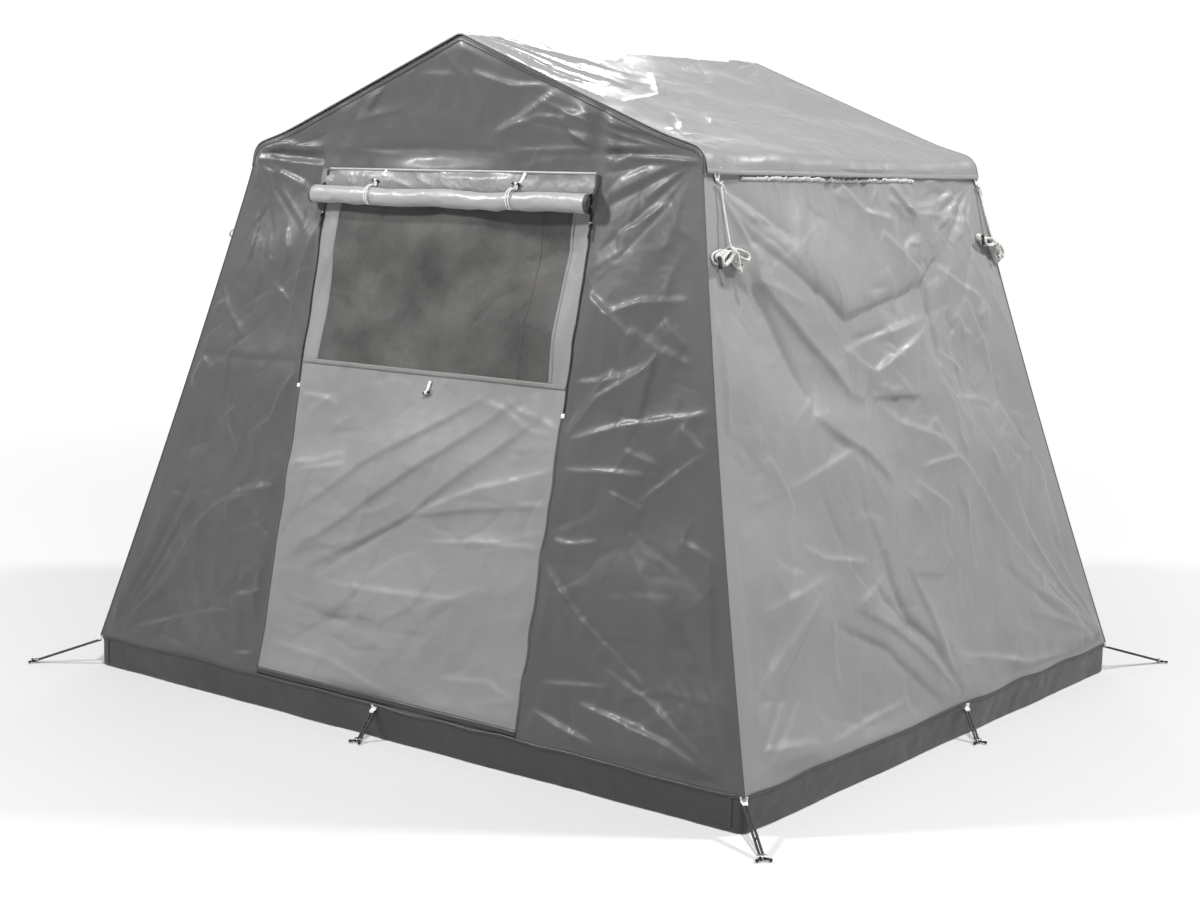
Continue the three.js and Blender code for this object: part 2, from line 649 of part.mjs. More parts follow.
addGroundsheet();
addGableWalls();
addSideWalls();
addRoof();
addWindowCover();
addUpperFrame();
addLegs();
addSliders();
addWindowTab();
for (const [name, tab, peg] of pegSets) {
  addPegSet(name, tab, peg);
}
for (const rope of guyRopes) {
  addGuyRope(rope);
}

export default tent;
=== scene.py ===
"""The looks of a small utility tent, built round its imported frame.

Metres, +Z up, the window is on the -Y side. Every sheet of cloth is a Surface: a base face with a relief of
folds and creases over it. Tapes, straps, seams and stitches are laid on those surfaces, so they follow the folds.
"""
import math

import bmesh
import bpy
import numpy as np
from mathutils import Matrix, Vector


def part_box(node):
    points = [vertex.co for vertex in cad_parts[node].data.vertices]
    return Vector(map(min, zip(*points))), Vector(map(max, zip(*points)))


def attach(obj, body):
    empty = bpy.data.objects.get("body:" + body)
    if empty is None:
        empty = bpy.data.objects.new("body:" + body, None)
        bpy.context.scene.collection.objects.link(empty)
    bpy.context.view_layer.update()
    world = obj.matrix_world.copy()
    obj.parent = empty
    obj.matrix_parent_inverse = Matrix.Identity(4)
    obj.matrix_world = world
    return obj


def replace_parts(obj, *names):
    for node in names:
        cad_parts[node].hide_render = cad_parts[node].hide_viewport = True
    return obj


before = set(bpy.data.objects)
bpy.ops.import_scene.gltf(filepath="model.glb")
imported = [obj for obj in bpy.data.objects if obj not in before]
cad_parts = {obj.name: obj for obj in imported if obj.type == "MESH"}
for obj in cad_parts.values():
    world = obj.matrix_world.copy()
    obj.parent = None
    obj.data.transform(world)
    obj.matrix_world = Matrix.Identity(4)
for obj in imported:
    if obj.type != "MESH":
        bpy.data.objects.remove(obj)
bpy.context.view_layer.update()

# Sizes from the frame.
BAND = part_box("groundsheet")[1]
ROOF_LOW, ROOF_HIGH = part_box("roof")
PANEL_LOW, PANEL_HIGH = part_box("window_panel")
WINDOW_LOW, WINDOW_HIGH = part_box("window_mesh")
COVER_LOW, COVER_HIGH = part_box("window_cover")

# The outline's other sizes, as the frame's own design has them.
EAVE = Vector((0.845, 0.750, 1.660))
EAVE_RADIUS = 0.060
RIDGE_RADIUS = 0.040
WALL_INSET = 0.003
SIDE_PULL = 0.012
SIDE_WALL_TOP = 1.628
FLAP_DROP = 0.010
FLAP_Z = ROOF_LOW.z - FLAP_DROP
BAND_CORNER_RADIUS = 0.025

# How finely cloth is divided, and how deep its folds are.
FIELD_STEP = 0.004
CLOTH_STEP = 0.0063
TRIM_STEP = 0.006
STEEPEST = 0.0055
SIDE_DEPTH = 1.6
GABLE_DEPTH = 1.3

SLIDER_X = 0.5155
TAPE_TOP = 1.500
TAPE_BOTTOM = 0.960
ROPE_DIAMETER = 0.006
TURN = 2 * math.pi
UP = np.array([0.0, 0.0, 1.0])
SIDES = ((1, "right"), (-1, "left"))

# The studio: the sky's strength round the tent and behind it, and the lamps.
BACKDROP_WAY = (-0.61, 0.79, 0.0)
SKY_SIDE = 0.28
SKY_BACK = 1.05
SKY_TOP = 0.35
LAMPS = (
    {"name": "key", "place": (3.0, -3.2, 7.0), "target": (0, 0, 0.9), "size": 0.8, "power": 520},
    {"name": "right", "place": (4.2, 3.6, 6.0), "target": (0.8, 0, 0.9), "size": 0.8, "power": 400},
    {"name": "left", "place": (-4.2, -4.4, 5.6), "target": (0, -0.8, 0.9), "size": 0.8, "power": 400},
    {"name": "rear", "place": (-3.3, 4.9, 4.6), "target": (0.2, -0.5, 1.9), "size": 0.5, "power": 38},
)


# ---------------------------------------------------------------- meshes

def add_piece(name, points, faces, look, uv, body="tent", tidy=True):
    """A mesh object that rides on a body. Its UV map is the flat cloth in metres."""
    mesh = bpy.data.meshes.new(name)
    mesh.from_pydata(np.reshape(points, (-1, 3)).tolist(), [], [list(map(int, f)) for f in faces])
    layer = mesh.uv_layers.new(name="cloth")
    corner = np.empty(len(mesh.loops), np.int32)
    mesh.loops.foreach_get("vertex_index", corner)
    layer.data.foreach_set("uv", uv[corner].astype(np.float32).ravel())
    if tidy:
        work = bmesh.new()
        work.from_mesh(mesh)
        bmesh.ops.recalc_face_normals(work, faces=work.faces)
        work.to_mesh(mesh)
        work.free()
    mesh.polygons.foreach_set("use_smooth", [True] * len(mesh.polygons))
    mesh.materials.append(LOOKS[look])
    piece = bpy.data.objects.new(name, mesh)
    bpy.context.scene.collection.objects.link(piece)
    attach(piece, body)
    return piece


def put(name, look, slot, *solids, body="tent"):
    """One piece of several closed solids, each (points, faces, uv)."""
    points, faces, uv, count = [], [], [], 0
    for corners, sides, flat in solids:
        corners = np.reshape(corners, (-1, 3))
        points.append(corners)
        faces += [[int(i) + count for i in face] for face in sides]
        uv.append(corners[:, [0, 2]] if flat is None else flat)
        count += len(corners)
    return add_piece(name, np.concatenate(points), faces, look, np.concatenate(uv), body)


def uv_grid(across, along):
    return np.stack(np.broadcast_arrays(across, along), -1).reshape(-1, 2)


def grid_faces(rows, columns, wrap=False, keep=None):
    """Quads between the rows and columns of a grid of points."""
    last = columns if wrap else columns - 1
    i, j = np.meshgrid(np.arange(rows - 1), np.arange(last), indexing="ij")
    right = (j + 1) % columns
    faces = np.stack([i * columns + j, i * columns + right, (i + 1) * columns + right, (i + 1) * columns + j], -1)
    return faces.reshape(-1, 4) if keep is None else faces[keep]


def tube_faces(rings, count):
    """The faces of a closed tube of rings, flat ends included."""
    ends = [list(range(count))[::-1], [(rings - 1) * count + k for k in range(count)]]
    return grid_faces(rings, count, wrap=True).tolist() + ends


def run_length(line):
    return np.concatenate([[0], np.cumsum(np.linalg.norm(np.diff(line, axis=0), axis=1))])


def unit(vectors):
    return vectors / np.linalg.norm(vectors, axis=-1, keepdims=True)


def even(line, step):
    """The same line with points an even step apart."""
    line = np.asarray(line, float)
    along = run_length(line)
    places = np.linspace(0, along[-1], max(2, int(round(along[-1] / step)) + 1))
    return np.stack([np.interp(places, along, line[:, k]) for k in range(line.shape[1])], -1)


def curve_through(points, step):
    """A smooth line through points (Catmull-Rom), with even steps."""
    points = np.asarray(points, float)
    padded = np.concatenate([2 * points[:1] - points[1:2], points, 2 * points[-1:] - points[-2:-1]])
    t = np.linspace(0, 1, 24, endpoint=False)[:, None]
    pieces = []
    for p0, p1, p2, p3 in zip(padded, padded[1:], padded[2:], padded[3:]):
        bend = 2 * p0 - 5 * p1 + 4 * p2 - p3
        pieces.append(p1 + 0.5 * ((p2 - p0) * t + bend * t**2 + (3 * p1 - p0 - 3 * p2 + p3) * t**3))
    return even(np.concatenate([*pieces, padded[-2:-1]]), step)


def relaxed(line, rounds=8):
    """The same line with its sharp turns eased, as a rope's stiffness eases them."""
    for _ in range(rounds):
        line = np.concatenate([line[:1], (line[:-2] + 2 * line[1:-1] + line[2:]) / 4, line[-1:]])
    return line


def sweep(path, ring, turns_per_metre=0.0, scale=1.0, start_normal=UP):
    """A closed tube: the ring of (x, y) points carried along a path without needless twist."""
    path = np.asarray(path, float)
    tangent = unit(np.gradient(path, axis=0))
    guess = np.array([1.0, 0.0, 0.0]) if abs(tangent[0] @ start_normal) > 0.95 else np.asarray(start_normal, float)
    normal = []
    for direction in tangent:
        guess = unit(guess - direction * (guess @ direction))
        normal.append(guess)
    normal = np.array(normal)
    along = run_length(path)
    cos, sin = (f(TURN * turns_per_metre * along)[:, None] for f in (np.cos, np.sin))
    size = np.broadcast_to(scale, len(path))[:, None]
    x = (ring[:, 0] * cos - ring[:, 1] * sin) * size
    y = (ring[:, 0] * sin + ring[:, 1] * cos) * size
    points = path[:, None] + normal[:, None] * x[..., None] + np.cross(tangent, normal)[:, None] * y[..., None]
    spread = np.linspace(0, TURN * np.abs(ring).max(), len(ring))
    return points, tube_faces(len(path), len(ring)), uv_grid(spread, along[:, None])


def circle(radius, sides=12):
    angle = np.arange(sides) * TURN / sides
    return np.stack([radius * np.cos(angle), radius * np.sin(angle)], -1)


def rope_ring(radius, sides):
    """A three-strand rope's section."""
    return circle(radius * (0.76 + 0.30 * np.abs(np.cos(1.5 * np.arange(sides) * TURN / sides))), sides)


def rounded_rectangle(width, height, radius, steps=3):
    """The outline of a rectangle with round corners, centred on the origin."""
    ring = []
    for corner, (sx, sy) in enumerate([(1, 1), (-1, 1), (-1, -1), (1, -1)]):
        for k in range(steps + 1):
            angle = TURN / 4 * (corner + k / steps)
            ring.append((sx * (width / 2 - radius) + radius * math.cos(angle),
                         sy * (height / 2 - radius) + radius * math.sin(angle)))
    return np.array(ring)


def block(centre, axes, size, radius):
    """A box with rounded edges: its centre, its three axes and its size along them."""
    half = axes[2] * size[2] / 2
    inner = 1 - min(0.4, 2 * radius / size[2])
    ring = rounded_rectangle(size[0], size[1], min(radius, 0.45 * min(size[:2])))
    shrink = 1 - 2 * radius / max(size[0], size[1])
    path = np.stack([centre - half, centre - half * inner, centre + half * inner, centre + half])
    return sweep(path, ring, scale=[shrink, 1, 1, shrink], start_normal=axes[0])


def lathe(centre, axis, profile, sides=16):
    """A round solid about an axis: profile is (height, radius) pairs along it."""
    profile = np.maximum(profile, ((-np.inf, 1e-5),))
    side = np.cross(axis, UP)
    if np.linalg.norm(side) < 0.1:
        side = np.cross(axis, [1.0, 0.0, 0.0])
    side = unit(side)
    ring = circle(1.0, sides)
    spokes = side * ring[:, :1] + np.cross(axis, side) * ring[:, 1:]
    path = centre + axis * profile[:, :1]
    return path[:, None] + spokes * profile[:, 1, None, None], tube_faces(len(path), sides), None


# ---------------------------------------------------------------- materials

class Nodes:
    """A node tree with short ways to add nodes to it."""

    def __init__(self, tree):
        self.tree = tree

    def add(self, kind, inputs=None, output=0, **settings):
        node = self.tree.nodes.new("ShaderNode" + kind)
        for key, value in settings.items():
            setattr(node, key, value)
        for key, value in (inputs or {}).items():
            if isinstance(value, bpy.types.NodeSocket):
                self.tree.links.new(value, node.inputs[key])
            else:
                node.inputs[key].default_value = value
        return node.outputs[output]

    def math(self, operation, a, b):
        return self.add("Math", {0: a, 1: b}, operation=operation)

    def remap(self, value, low, high, to_low, to_high, **settings):
        return self.add("MapRange", {"Value": value, 1: low, 2: high, 3: to_low, 4: to_high}, **settings)


class Look(Nodes):
    """A procedural material round one Principled shader, laid out on the cloth's UV map in metres."""

    def __init__(self, name, **constants):
        self.material = bpy.data.materials.new(name)
        self.material.use_nodes = True
        super().__init__(self.material.node_tree)
        self.shader = self.tree.nodes["Principled BSDF"]
        for socket, value in constants.items():
            self.shader.inputs[socket.replace("_", " ")].default_value = value

    def finish(self, **sockets):
        """Links the shader's sockets and gives the material."""
        for socket, value in sockets.items():
            self.tree.links.new(value, self.shader.inputs[socket.replace("_", " ")])
        return self.material

    def cloth_uv(self, stretch=(1, 1, 1)):
        return self.add("Mapping", {"Vector": self.add("UVMap", uv_map="cloth"), "Scale": stretch})

    def noise(self, vector, scale, detail, roughness=0.55):
        settings = {"Vector": vector, "Scale": scale, "Detail": detail, "Roughness": roughness}
        return self.add("TexNoise", settings, noise_type="FBM")

    def bump(self, height, distance, strength, **below):
        return self.add("Bump", {"Height": height, "Distance": distance, "Strength": strength, **below})

    def tint(self, colour, factor):
        """The colour, lighter or darker by a factor that varies over the surface."""
        return self.add("VectorMath", {0: colour, "Scale": factor}, operation="SCALE")

    def weave(self, period):
        """Threads over and under: two crossing waves."""
        inputs = {"Vector": self.cloth_uv(), "Scale": TURN / 20 / period}
        across, up = (self.add("TexWave", inputs, output=1, bands_direction=way) for way in "XY")
        return self.math("MULTIPLY", across, up)


def cloth_look(name, grey, roughness, crinkle=0.0007, warmth=0.0, weave_period=0.0011, **constants):
    """Coated tent cloth: fine weave, small crinkles, uneven gloss and slightly uneven colour."""
    settings = {"Coat_Weight": 0.10, "Coat_Roughness": 0.20, "Sheen_Weight": 0.08, "Specular_IOR_Level": 0.5}
    look = Look(name, **{**settings, **constants})
    broad = look.noise(look.cloth_uv(), 2.6, 3.0)
    fine = look.noise(look.cloth_uv((1, 1.6, 1)), 240.0, 2.0)
    ridges = look.noise(look.cloth_uv((1.0, 1.5, 1)), 9.0, 7.0, 0.62)
    gloss = look.noise(look.cloth_uv(), 14.0, 5.0)
    shade = look.math("ADD", look.remap(broad, 0.3, 0.7, 0.94, 1.05), look.remap(fine, 0.3, 0.7, -0.025, 0.025))
    folds = look.bump(ridges, crinkle, 0.9)
    return look.finish(
        Base_Color=look.tint((grey * (1 + warmth), grey, grey * (1 - warmth)), shade),
        Roughness=look.remap(gloss, 0.3, 0.7, *roughness),
        Normal=look.bump(look.weave(weave_period), 0.00012, 0.5, Normal=folds))


def mesh_look():
    """Insect netting: a fine open weave that lets some light through, with broad blotches of tone that are partly the
    net's own uneven tone and partly a painted sheen.
    """
    look = Look("window_net", Roughness=0.62, Specular_IOR_Level=0.3)
    # Broad blotches in the base colour: partly the net's own uneven tone, partly a painted sheen.
    net_tone_and_painted_sheen = look.noise(look.cloth_uv((1, 1.3, 1)), 5.0, 5.0)
    fine = look.noise(look.cloth_uv((3, 1, 1)), 60.0, 3.0)
    shade = look.math("ADD", look.remap(net_tone_and_painted_sheen, 0.3, 0.7, 0.62, 1.45), look.remap(fine, 0.3, 0.7, -0.1, 0.1))
    weave = look.weave(0.0016)
    return look.finish(Base_Color=look.tint((0.082, 0.080, 0.077), shade),
                       Alpha=look.remap(weave, 0.0, 0.5, 0.90, 0.80), Normal=look.bump(weave, 0.0003, 0.6))


def webbing_look(name, grey, period, roughness):
    """Woven tape: strong cross ribs and slightly fuzzy light."""
    look = Look(name, Sheen_Weight=0.25, Roughness=roughness)
    shade = look.remap(look.noise(look.cloth_uv(), 180.0, 3.0), 0.25, 0.75, 0.86, 1.08)
    return look.finish(Base_Color=look.tint((grey, grey * 0.99, grey * 0.95), shade),
                       Normal=look.bump(look.weave(period), 0.0004, 0.8))


def rope_look():
    """White twisted rope: strands at a slant, fuzzy and a little dirty."""
    look = Look("white_rope", Sheen_Weight=0.35, Roughness=0.8)
    uv = look.cloth_uv()
    inputs = {"Vector": uv, "Scale": 150.0, "Distortion": 1.2}
    strands = look.add("TexWave", inputs, output=1, bands_direction="DIAGONAL")
    shade = look.remap(look.noise(uv, 30.0, 5.0), 0.3, 0.75, 1.08, 0.70)
    return look.finish(Base_Color=look.tint((0.62, 0.61, 0.585), shade), Normal=look.bump(strands, 0.0005, 0.8))


def moulded_look(name, colour, roughness, grain=900.0, relief=0.00008):
    """Moulded plastic or rubber: fine grain, scuffs and uneven gloss, in object space."""
    look = Look(name)
    place = look.add("TexCoord", output=3)
    scuffs = look.noise(place, 70.0, 6.0, 0.7)
    return look.finish(
        Base_Color=look.tint(colour, look.remap(scuffs, 0.35, 0.8, 0.9, 1.35)),
        Roughness=look.remap(scuffs, 0.3, 0.75, roughness * 0.85, roughness * 1.25),
        Normal=look.bump(look.noise(place, grain, 2.0), relief, 0.6))


def steel_look(name, grey, roughness):
    """Galvanised or polished steel: fine drawn lines and dull patches."""
    look = Look(name, Metallic=1.0)
    place = look.add("TexCoord", output=3)
    lines = look.noise(look.add("Mapping", {"Vector": place, "Scale": (1, 1, 0.06)}), 900.0, 2.0)
    dull = look.noise(place, 25.0, 5.0)
    return look.finish(
        Base_Color=look.tint((grey, grey, grey * 1.01), look.remap(dull, 0.3, 0.7, 0.85, 1.08)),
        Roughness=look.remap(dull, 0.3, 0.7, roughness * 0.8, roughness * 1.3),
        Normal=look.bump(lines, 0.00005, 0.5))


LOOKS = {
    "dark": cloth_look("dark_cloth", 0.066, (0.40, 0.56), warmth=0.004),
    "light": cloth_look("light_cloth", 0.205, (0.46, 0.62), warmth=0.004, Coat_Weight=0.05),
    "roof": cloth_look("roof_cloth", 0.225, (0.26, 0.40), Coat_Weight=0.34, Coat_Roughness=0.13),
    # A copy of the light cloth at about twice its grey, for the gathered strip: a painted highlight.
    "ruffle_painted_highlight": cloth_look("ruffle_painted_highlight_cloth", 0.42, (0.28, 0.42), Coat_Weight=0.3),
    "band": cloth_look("band_cloth", 0.026, (0.40, 0.56), warmth=0.03, weave_period=0.0016),
    "silver": cloth_look("silver_cloth", 0.30, (0.34, 0.50), crinkle=0.0016, Coat_Weight=0.15),
    # A darker copy of the silver cloth for the cover's flat part: painted shade.
    "silver_painted_shade": cloth_look("silver_painted_shade_cloth", 0.16, (0.34, 0.50), crinkle=0.0016, Coat_Weight=0.12),
    "net": mesh_look(),
    "trim": webbing_look("trim_tape", 0.17, 0.0014, 0.55),
    "binding": cloth_look("binding_cloth", 0.068, (0.34, 0.5), crinkle=0.0008, weave_period=0.0014),
    "dark_tape": webbing_look("dark_tape", 0.018, 0.0012, 0.6),
    "white_tape": webbing_look("white_tape", 0.74, 0.0016, 0.75),
    "rope": rope_look(),
    "thread": webbing_look("thread", 0.30, 0.0008, 0.7),
    "dark_thread": webbing_look("dark_thread", 0.14, 0.0008, 0.7),
    "plastic": moulded_look("black_plastic", (0.013, 0.013, 0.013), 0.38),
    "white_plastic": moulded_look("white_plastic", (0.72, 0.71, 0.68), 0.42),
    "rubber": moulded_look("black_rubber", (0.014, 0.014, 0.014), 0.55, 500.0, 0.00015),
    "steel": steel_look("pole_steel", 0.46, 0.34),
    "bright_steel": steel_look("peg_steel", 0.62, 0.24),
    "zip_metal": steel_look("zip_metal", 0.12, 0.36),
}


# ---------------------------------------------------------------- camera, light and floor

def add_camera():
    azimuth, elevation, roll = (math.radians(x) for x in (37.854, 8.119, 1.1075))
    back = Vector((math.sin(azimuth) * math.cos(elevation), -math.cos(azimuth) * math.cos(elevation),
                   math.sin(elevation)))
    right = (-back).cross(Vector(UP)).normalized()
    up = right.cross(-back)
    rolled_right = right * math.cos(roll) + up * math.sin(roll)
    rolled_up = up * math.cos(roll) - right * math.sin(roll)
    data = bpy.data.cameras.new("camera")
    data.lens = 58.07
    data.sensor_width = 36.0
    camera = bpy.data.objects.new("camera", data)
    bpy.context.scene.collection.objects.link(camera)
    axes = Matrix((rolled_right, rolled_up, back)).transposed().to_4x4()
    camera.matrix_world = Matrix.Translation((3.7589, -4.9070, 1.6006)) @ axes
    bpy.context.scene.camera = camera


def add_light(name, place, target, size, power):
    data = bpy.data.lights.new(name, "AREA")
    data.shape = "DISK"
    data.size = size
    data.energy = power
    lamp = bpy.data.objects.new(name, data)
    bpy.context.scene.collection.objects.link(lamp)
    lamp.location = place
    lamp.rotation_mode = "QUATERNION"
    lamp.rotation_quaternion = (Vector(target) - Vector(place)).to_track_quat("-Z", "Y")


def add_studio():
    """Soft daylight that is brighter low down behind the tent, the lamps and a pale floor."""
    world = bpy.data.worlds.new("studio")
    bpy.context.scene.world = world
    world.use_nodes = True
    background = world.node_tree.nodes["Background"]
    background.inputs["Color"].default_value = (1, 1, 1, 1)
    sky = Nodes(world.node_tree)
    way = sky.add("TexCoord")
    behind = sky.add("VectorMath", {0: way, 1: BACKDROP_WAY}, output=1, operation="DOT_PRODUCT")
    height = sky.add("SeparateXYZ", {"Vector": way}, output=2)
    gentle = {"interpolation_type": "SMOOTHSTEP"}
    strength = sky.math("MULTIPLY", sky.remap(behind, 0.45, 0.80, SKY_SIDE, SKY_BACK, **gentle),
                        sky.remap(height, 0.16, 0.34, 1.0, SKY_TOP, **gentle))
    world.node_tree.links.new(strength, background.inputs["Strength"])
    bpy.context.scene.view_settings.view_transform = "Standard"
    for lamp in LAMPS:
        add_light(**lamp)
    look = Look("floor", Roughness=0.9, Base_Color=(0.52, 0.52, 0.52, 1), Emission_Color=(1, 1, 1, 1))
    away = look.add("VectorMath", {0: look.add("TexCoord", output=3)}, output=1, operation="LENGTH")
    mesh = bpy.data.meshes.new("floor")
    ring = circle(40.0, 64)
    mesh.from_pydata([(x, y, -0.0005) for x, y in ring], [], [list(range(len(ring)))])
    mesh.materials.append(look.finish(Emission_Strength=look.remap(away, 1.5, 9.0, 0.08, 0.92)))
    floor = bpy.data.objects.new("floor", mesh)
    bpy.context.scene.collection.objects.link(floor)


# ---------------------------------------------------------------- guy ropes

EXIT_HEIGHT = 1.582
HANK_HEIGHT = 1.405
HANK_WAIST = 0.011
HANK_GAP = 0.0025
HANK_DROOP = 0.42
HANK_TURNS = 6
LOBE_LENGTH = 0.076
LOBE_HALF_WIDTH = 0.0150
LAYER = 0.0046
KNOT_STRAND = {"ring": rope_ring(0.0023, 10), "turns_per_metre": 60.0}
GUY_ROPES = [
    {"name": f"{end}_{which}", "side": side, "y": y, "hank_y": hank_y, "turn": turn}
    for side, which in SIDES
    for end, y, hank_y, turn in (("front", -0.700, -0.715, 0.0), ("rear", 0.752, 0.770, -0.5))
]


def straight_reach(axis, height):
    """How far the straight wall stands from the middle at a height."""
    share = (height - BAND.z) / (EAVE.z - BAND.z)
    base = getattr(BAND, axis)
    return base + (getattr(EAVE, axis) - base) * share


def side_face(side, y, height):
    """A place on a side wall: its origin and its axes along the wall, up the slope and outward."""
    lean = math.atan2(BAND.x - EAVE.x, EAVE.z - BAND.z)
    along = np.array([0.0, side, 0.0])
    outward = np.array([side * math.cos(lean), 0.0, math.sin(lean)])
    origin = np.array([side * straight_reach("x", height), y, height])
    return origin, np.stack([along, np.cross(outward, along), outward])


def lobe_points(direction, length, half_width, depth):
    """One loop of the hank, from the waist out along its upper edge, round the tip and back."""
    along = unit(np.array(direction))
    across = np.array([-along[1], along[0]]) * (1 if along[0] > 0 else -1)
    straight = length - half_width
    upper = [(0.30 * straight, 0.86), (0.62 * straight, 1.0), (straight, 1.0), (straight + half_width * 0.71, 0.71)]
    outline = [*upper, (length, 0.0), *[(u, -v) for u, v in upper[::-1]]]
    return [[*(along * u + across * v * half_width), depth] for u, v in outline]


def spin_matrix(angle):
    return np.array([[math.cos(angle), -math.sin(angle)], [math.sin(angle), math.cos(angle)]])


def rope_route(rope, seed):
    """The rope's line in the wall's own axes: the hanging stretch, the tie round the waist, then the loops."""
    side = rope["side"]
    slope = math.hypot(EAVE.z - BAND.z, BAND.x - EAVE.x) / (EAVE.z - BAND.z)
    start = np.array([(rope["y"] - rope["hank_y"]) * side, (EXIT_HEIGHT - HANK_HEIGHT) * slope, 0.005])
    top = np.array([0.0, HANK_WAIST + HANK_GAP, 0.011])
    route = [start, start + (top - start) * (0.35, 0.35, 0.0), start + (top - start) * (0.75, 0.75, 0.4), top]
    for k in range(1, 13):
        angle = TURN * (0.25 + k / 5)
        route.append((-0.006 + 0.001 * k, 0.0118 * math.sin(angle), 0.006 - 0.0160 * math.cos(angle)))
    rng = np.random.default_rng(seed)
    spin = spin_matrix(rope["turn"] * side)
    for k in range(HANK_TURNS):
        depth = -0.005 + LAYER * k
        for way in (1, -1):
            spread = 0.07 * (k - HANK_TURNS / 2) * way + rng.uniform(-0.05, 0.05)
            length = LOBE_LENGTH * rng.uniform(0.80, 1.05)
            half_width = LOBE_HALF_WIDTH * rng.uniform(0.55, 1.0)
            route.append((0.0015 * way, 0.003 * way, depth + 0.0013 * way))
            for point in lobe_points([way, -HANK_DROOP + spread], length, half_width, depth):
                route.append((*(spin @ point[:2]), depth))
    end = HANK_TURNS * LAYER
    return np.array([*route, (0.0, -0.004, end), (0.004, -0.024, end - 0.001), (0.007, -0.050, end - 0.006)])


def knot(centre, axes, size):
    """A small overhand knot."""
    t = np.linspace(0, TURN, 48, endpoint=False)
    flat = np.stack([np.sin(t) + 2 * np.sin(2 * t), np.cos(t) - 2 * np.cos(2 * t), -np.sin(3 * t) * 1.1], -1) * size
    line = centre + flat @ axes
    return sweep(np.concatenate([line, line[:1]]), **KNOT_STRAND)


def add_guy_rope(rope, number):
    """A guy rope hung from its eave corner and tied in a hank, with its knots and its runner."""
    origin, axes = side_face(rope["side"], rope["hank_y"], HANK_HEIGHT)
    line = relaxed(curve_through(rope_route(rope, 40 + number), 0.0025))
    path = origin + line @ axes
    points, faces, uv = sweep(path, rope_ring(ROPE_DIAMETER * 0.54, 15), turns_per_metre=55.0)
    name = rope["name"]
    cord = add_piece("rope_" + name, points, faces, "rope", uv, tidy=False)
    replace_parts(cord, "guy_rope_" + name, "guy_hank_" + name)

    top = path[0] + axes[2] * 0.001
    tail = [top, top - axes[1] * 0.010 + axes[0] * 0.010, top - axes[1] * 0.030 + axes[0] * 0.014]
    top_knot = put("rope_knot_" + name, "rope", "white_rope", knot(top - axes[1] * 0.004, axes, 0.0026),
                   sweep(curve_through(tail, 0.0025), **KNOT_STRAND))
    end_knot = put("rope_end_knot_" + name, "rope", "white_rope", knot(path[-1], axes, 0.0024))

    tip = np.array([-LOBE_LENGTH + 0.004, -LOBE_LENGTH * HANK_DROOP + 0.002, HANK_TURNS * LAYER - 0.010])
    tip[:2] = spin_matrix(rope["turn"] * rope["side"]) @ tip[:2]
    middle = origin + tip @ axes
    lengthwise = unit(axes[1] * 0.85 - axes[0] * 0.35 + axes[2] * 0.25)
    crosswise = unit(np.cross(axes[2], lengthwise))
    outward = np.cross(lengthwise, crosswise)
    rim = [(0, 0.002), (0, 0.0048), (0.0088, 0.0048), (0.0092, 0.002)]
    clip = put("rope_runner_" + name, "plastic", "black_plastic",
               block(middle, [crosswise, outward, lengthwise], (0.012, 0.0065, 0.034), 0.0022),
               *[lathe(middle + lengthwise * 0.012 * end - outward * 0.0045, outward, rim) for end in (-1, 1)])

    tuple(path[0])


# ---------------------------------------------------------------- folds and creases

def smooth(t):
    t = np.clip(t, 0, 1)
    return t * t * (3 - 2 * t)


def waves(a, b, seed, length, stretch=(1.0, 1.0)):
    """A smooth random field of about unit size whose swells are about so long."""
    swells = 9
    rng = np.random.default_rng(seed)
    total = np.zeros_like(a)
    for _ in range(swells):
        angle, phase = rng.uniform(0, TURN, 2)
        rate = TURN / length * rng.uniform(0.65, 1.5)
        total += np.sin(rate * (a * math.cos(angle) / stretch[0] + b * math.sin(angle) / stretch[1]) + phase)
    return total / math.sqrt(swells / 2)


def ridged(a, b, seed, length, stretch=(1.0, 1.0)):
    """A random field with sharp crests, as small creases have."""
    return 0.8 - np.abs(waves(a, b, seed, length, stretch))


def lay_creases(field, a, b, creases):
    """Adds creases: sharp ridges along bent lines, falling off on both sides and fading to their ends."""
    for depth, width, lean, line in creases:
        line = np.asarray(line, float)
        span = 5 * width * max(lean, 1 / lean)
        low, high = line.min(0) - span, line.max(0) + span
        near = (a > low[0]) & (a < high[0]) & (b > low[1]) & (b < high[1])
        if not near.any():
            continue
        pa, pb = a[near], b[near]
        before = run_length(line)
        best = np.full(pa.shape, 1e9)
        along = np.zeros_like(pa)
        side = np.ones_like(pa)
        for start, end, length, done in zip(line, line[1:], np.diff(before), before):
            da, db = (end - start) / length
            share = np.clip(((pa - start[0]) * da + (pb - start[1]) * db) / length, 0, 1)
            ea = pa - start[0] - share * length * da
            eb = pb - start[1] - share * length * db
            away = np.hypot(ea, eb)
            closer = away < best
            best = np.where(closer, away, best)
            along = np.where(closer, (done + share * length) / before[-1], along)
            side = np.where(closer, np.sign(da * eb - db * ea), side)
        spread = np.maximum(width * np.where(side > 0, lean, 1 / lean), STEEPEST)
        fade = np.sqrt(np.clip(4 * along * (1 - along), 0, 1))
        field[near] += depth * fade * np.exp(-np.sqrt(best**2 + 0.0016**2) / spread)


def stepped(place, length, angle):
    """The place that lies so far off at an angle."""
    return place[0] + length * math.cos(angle), place[1] + length * math.sin(angle)


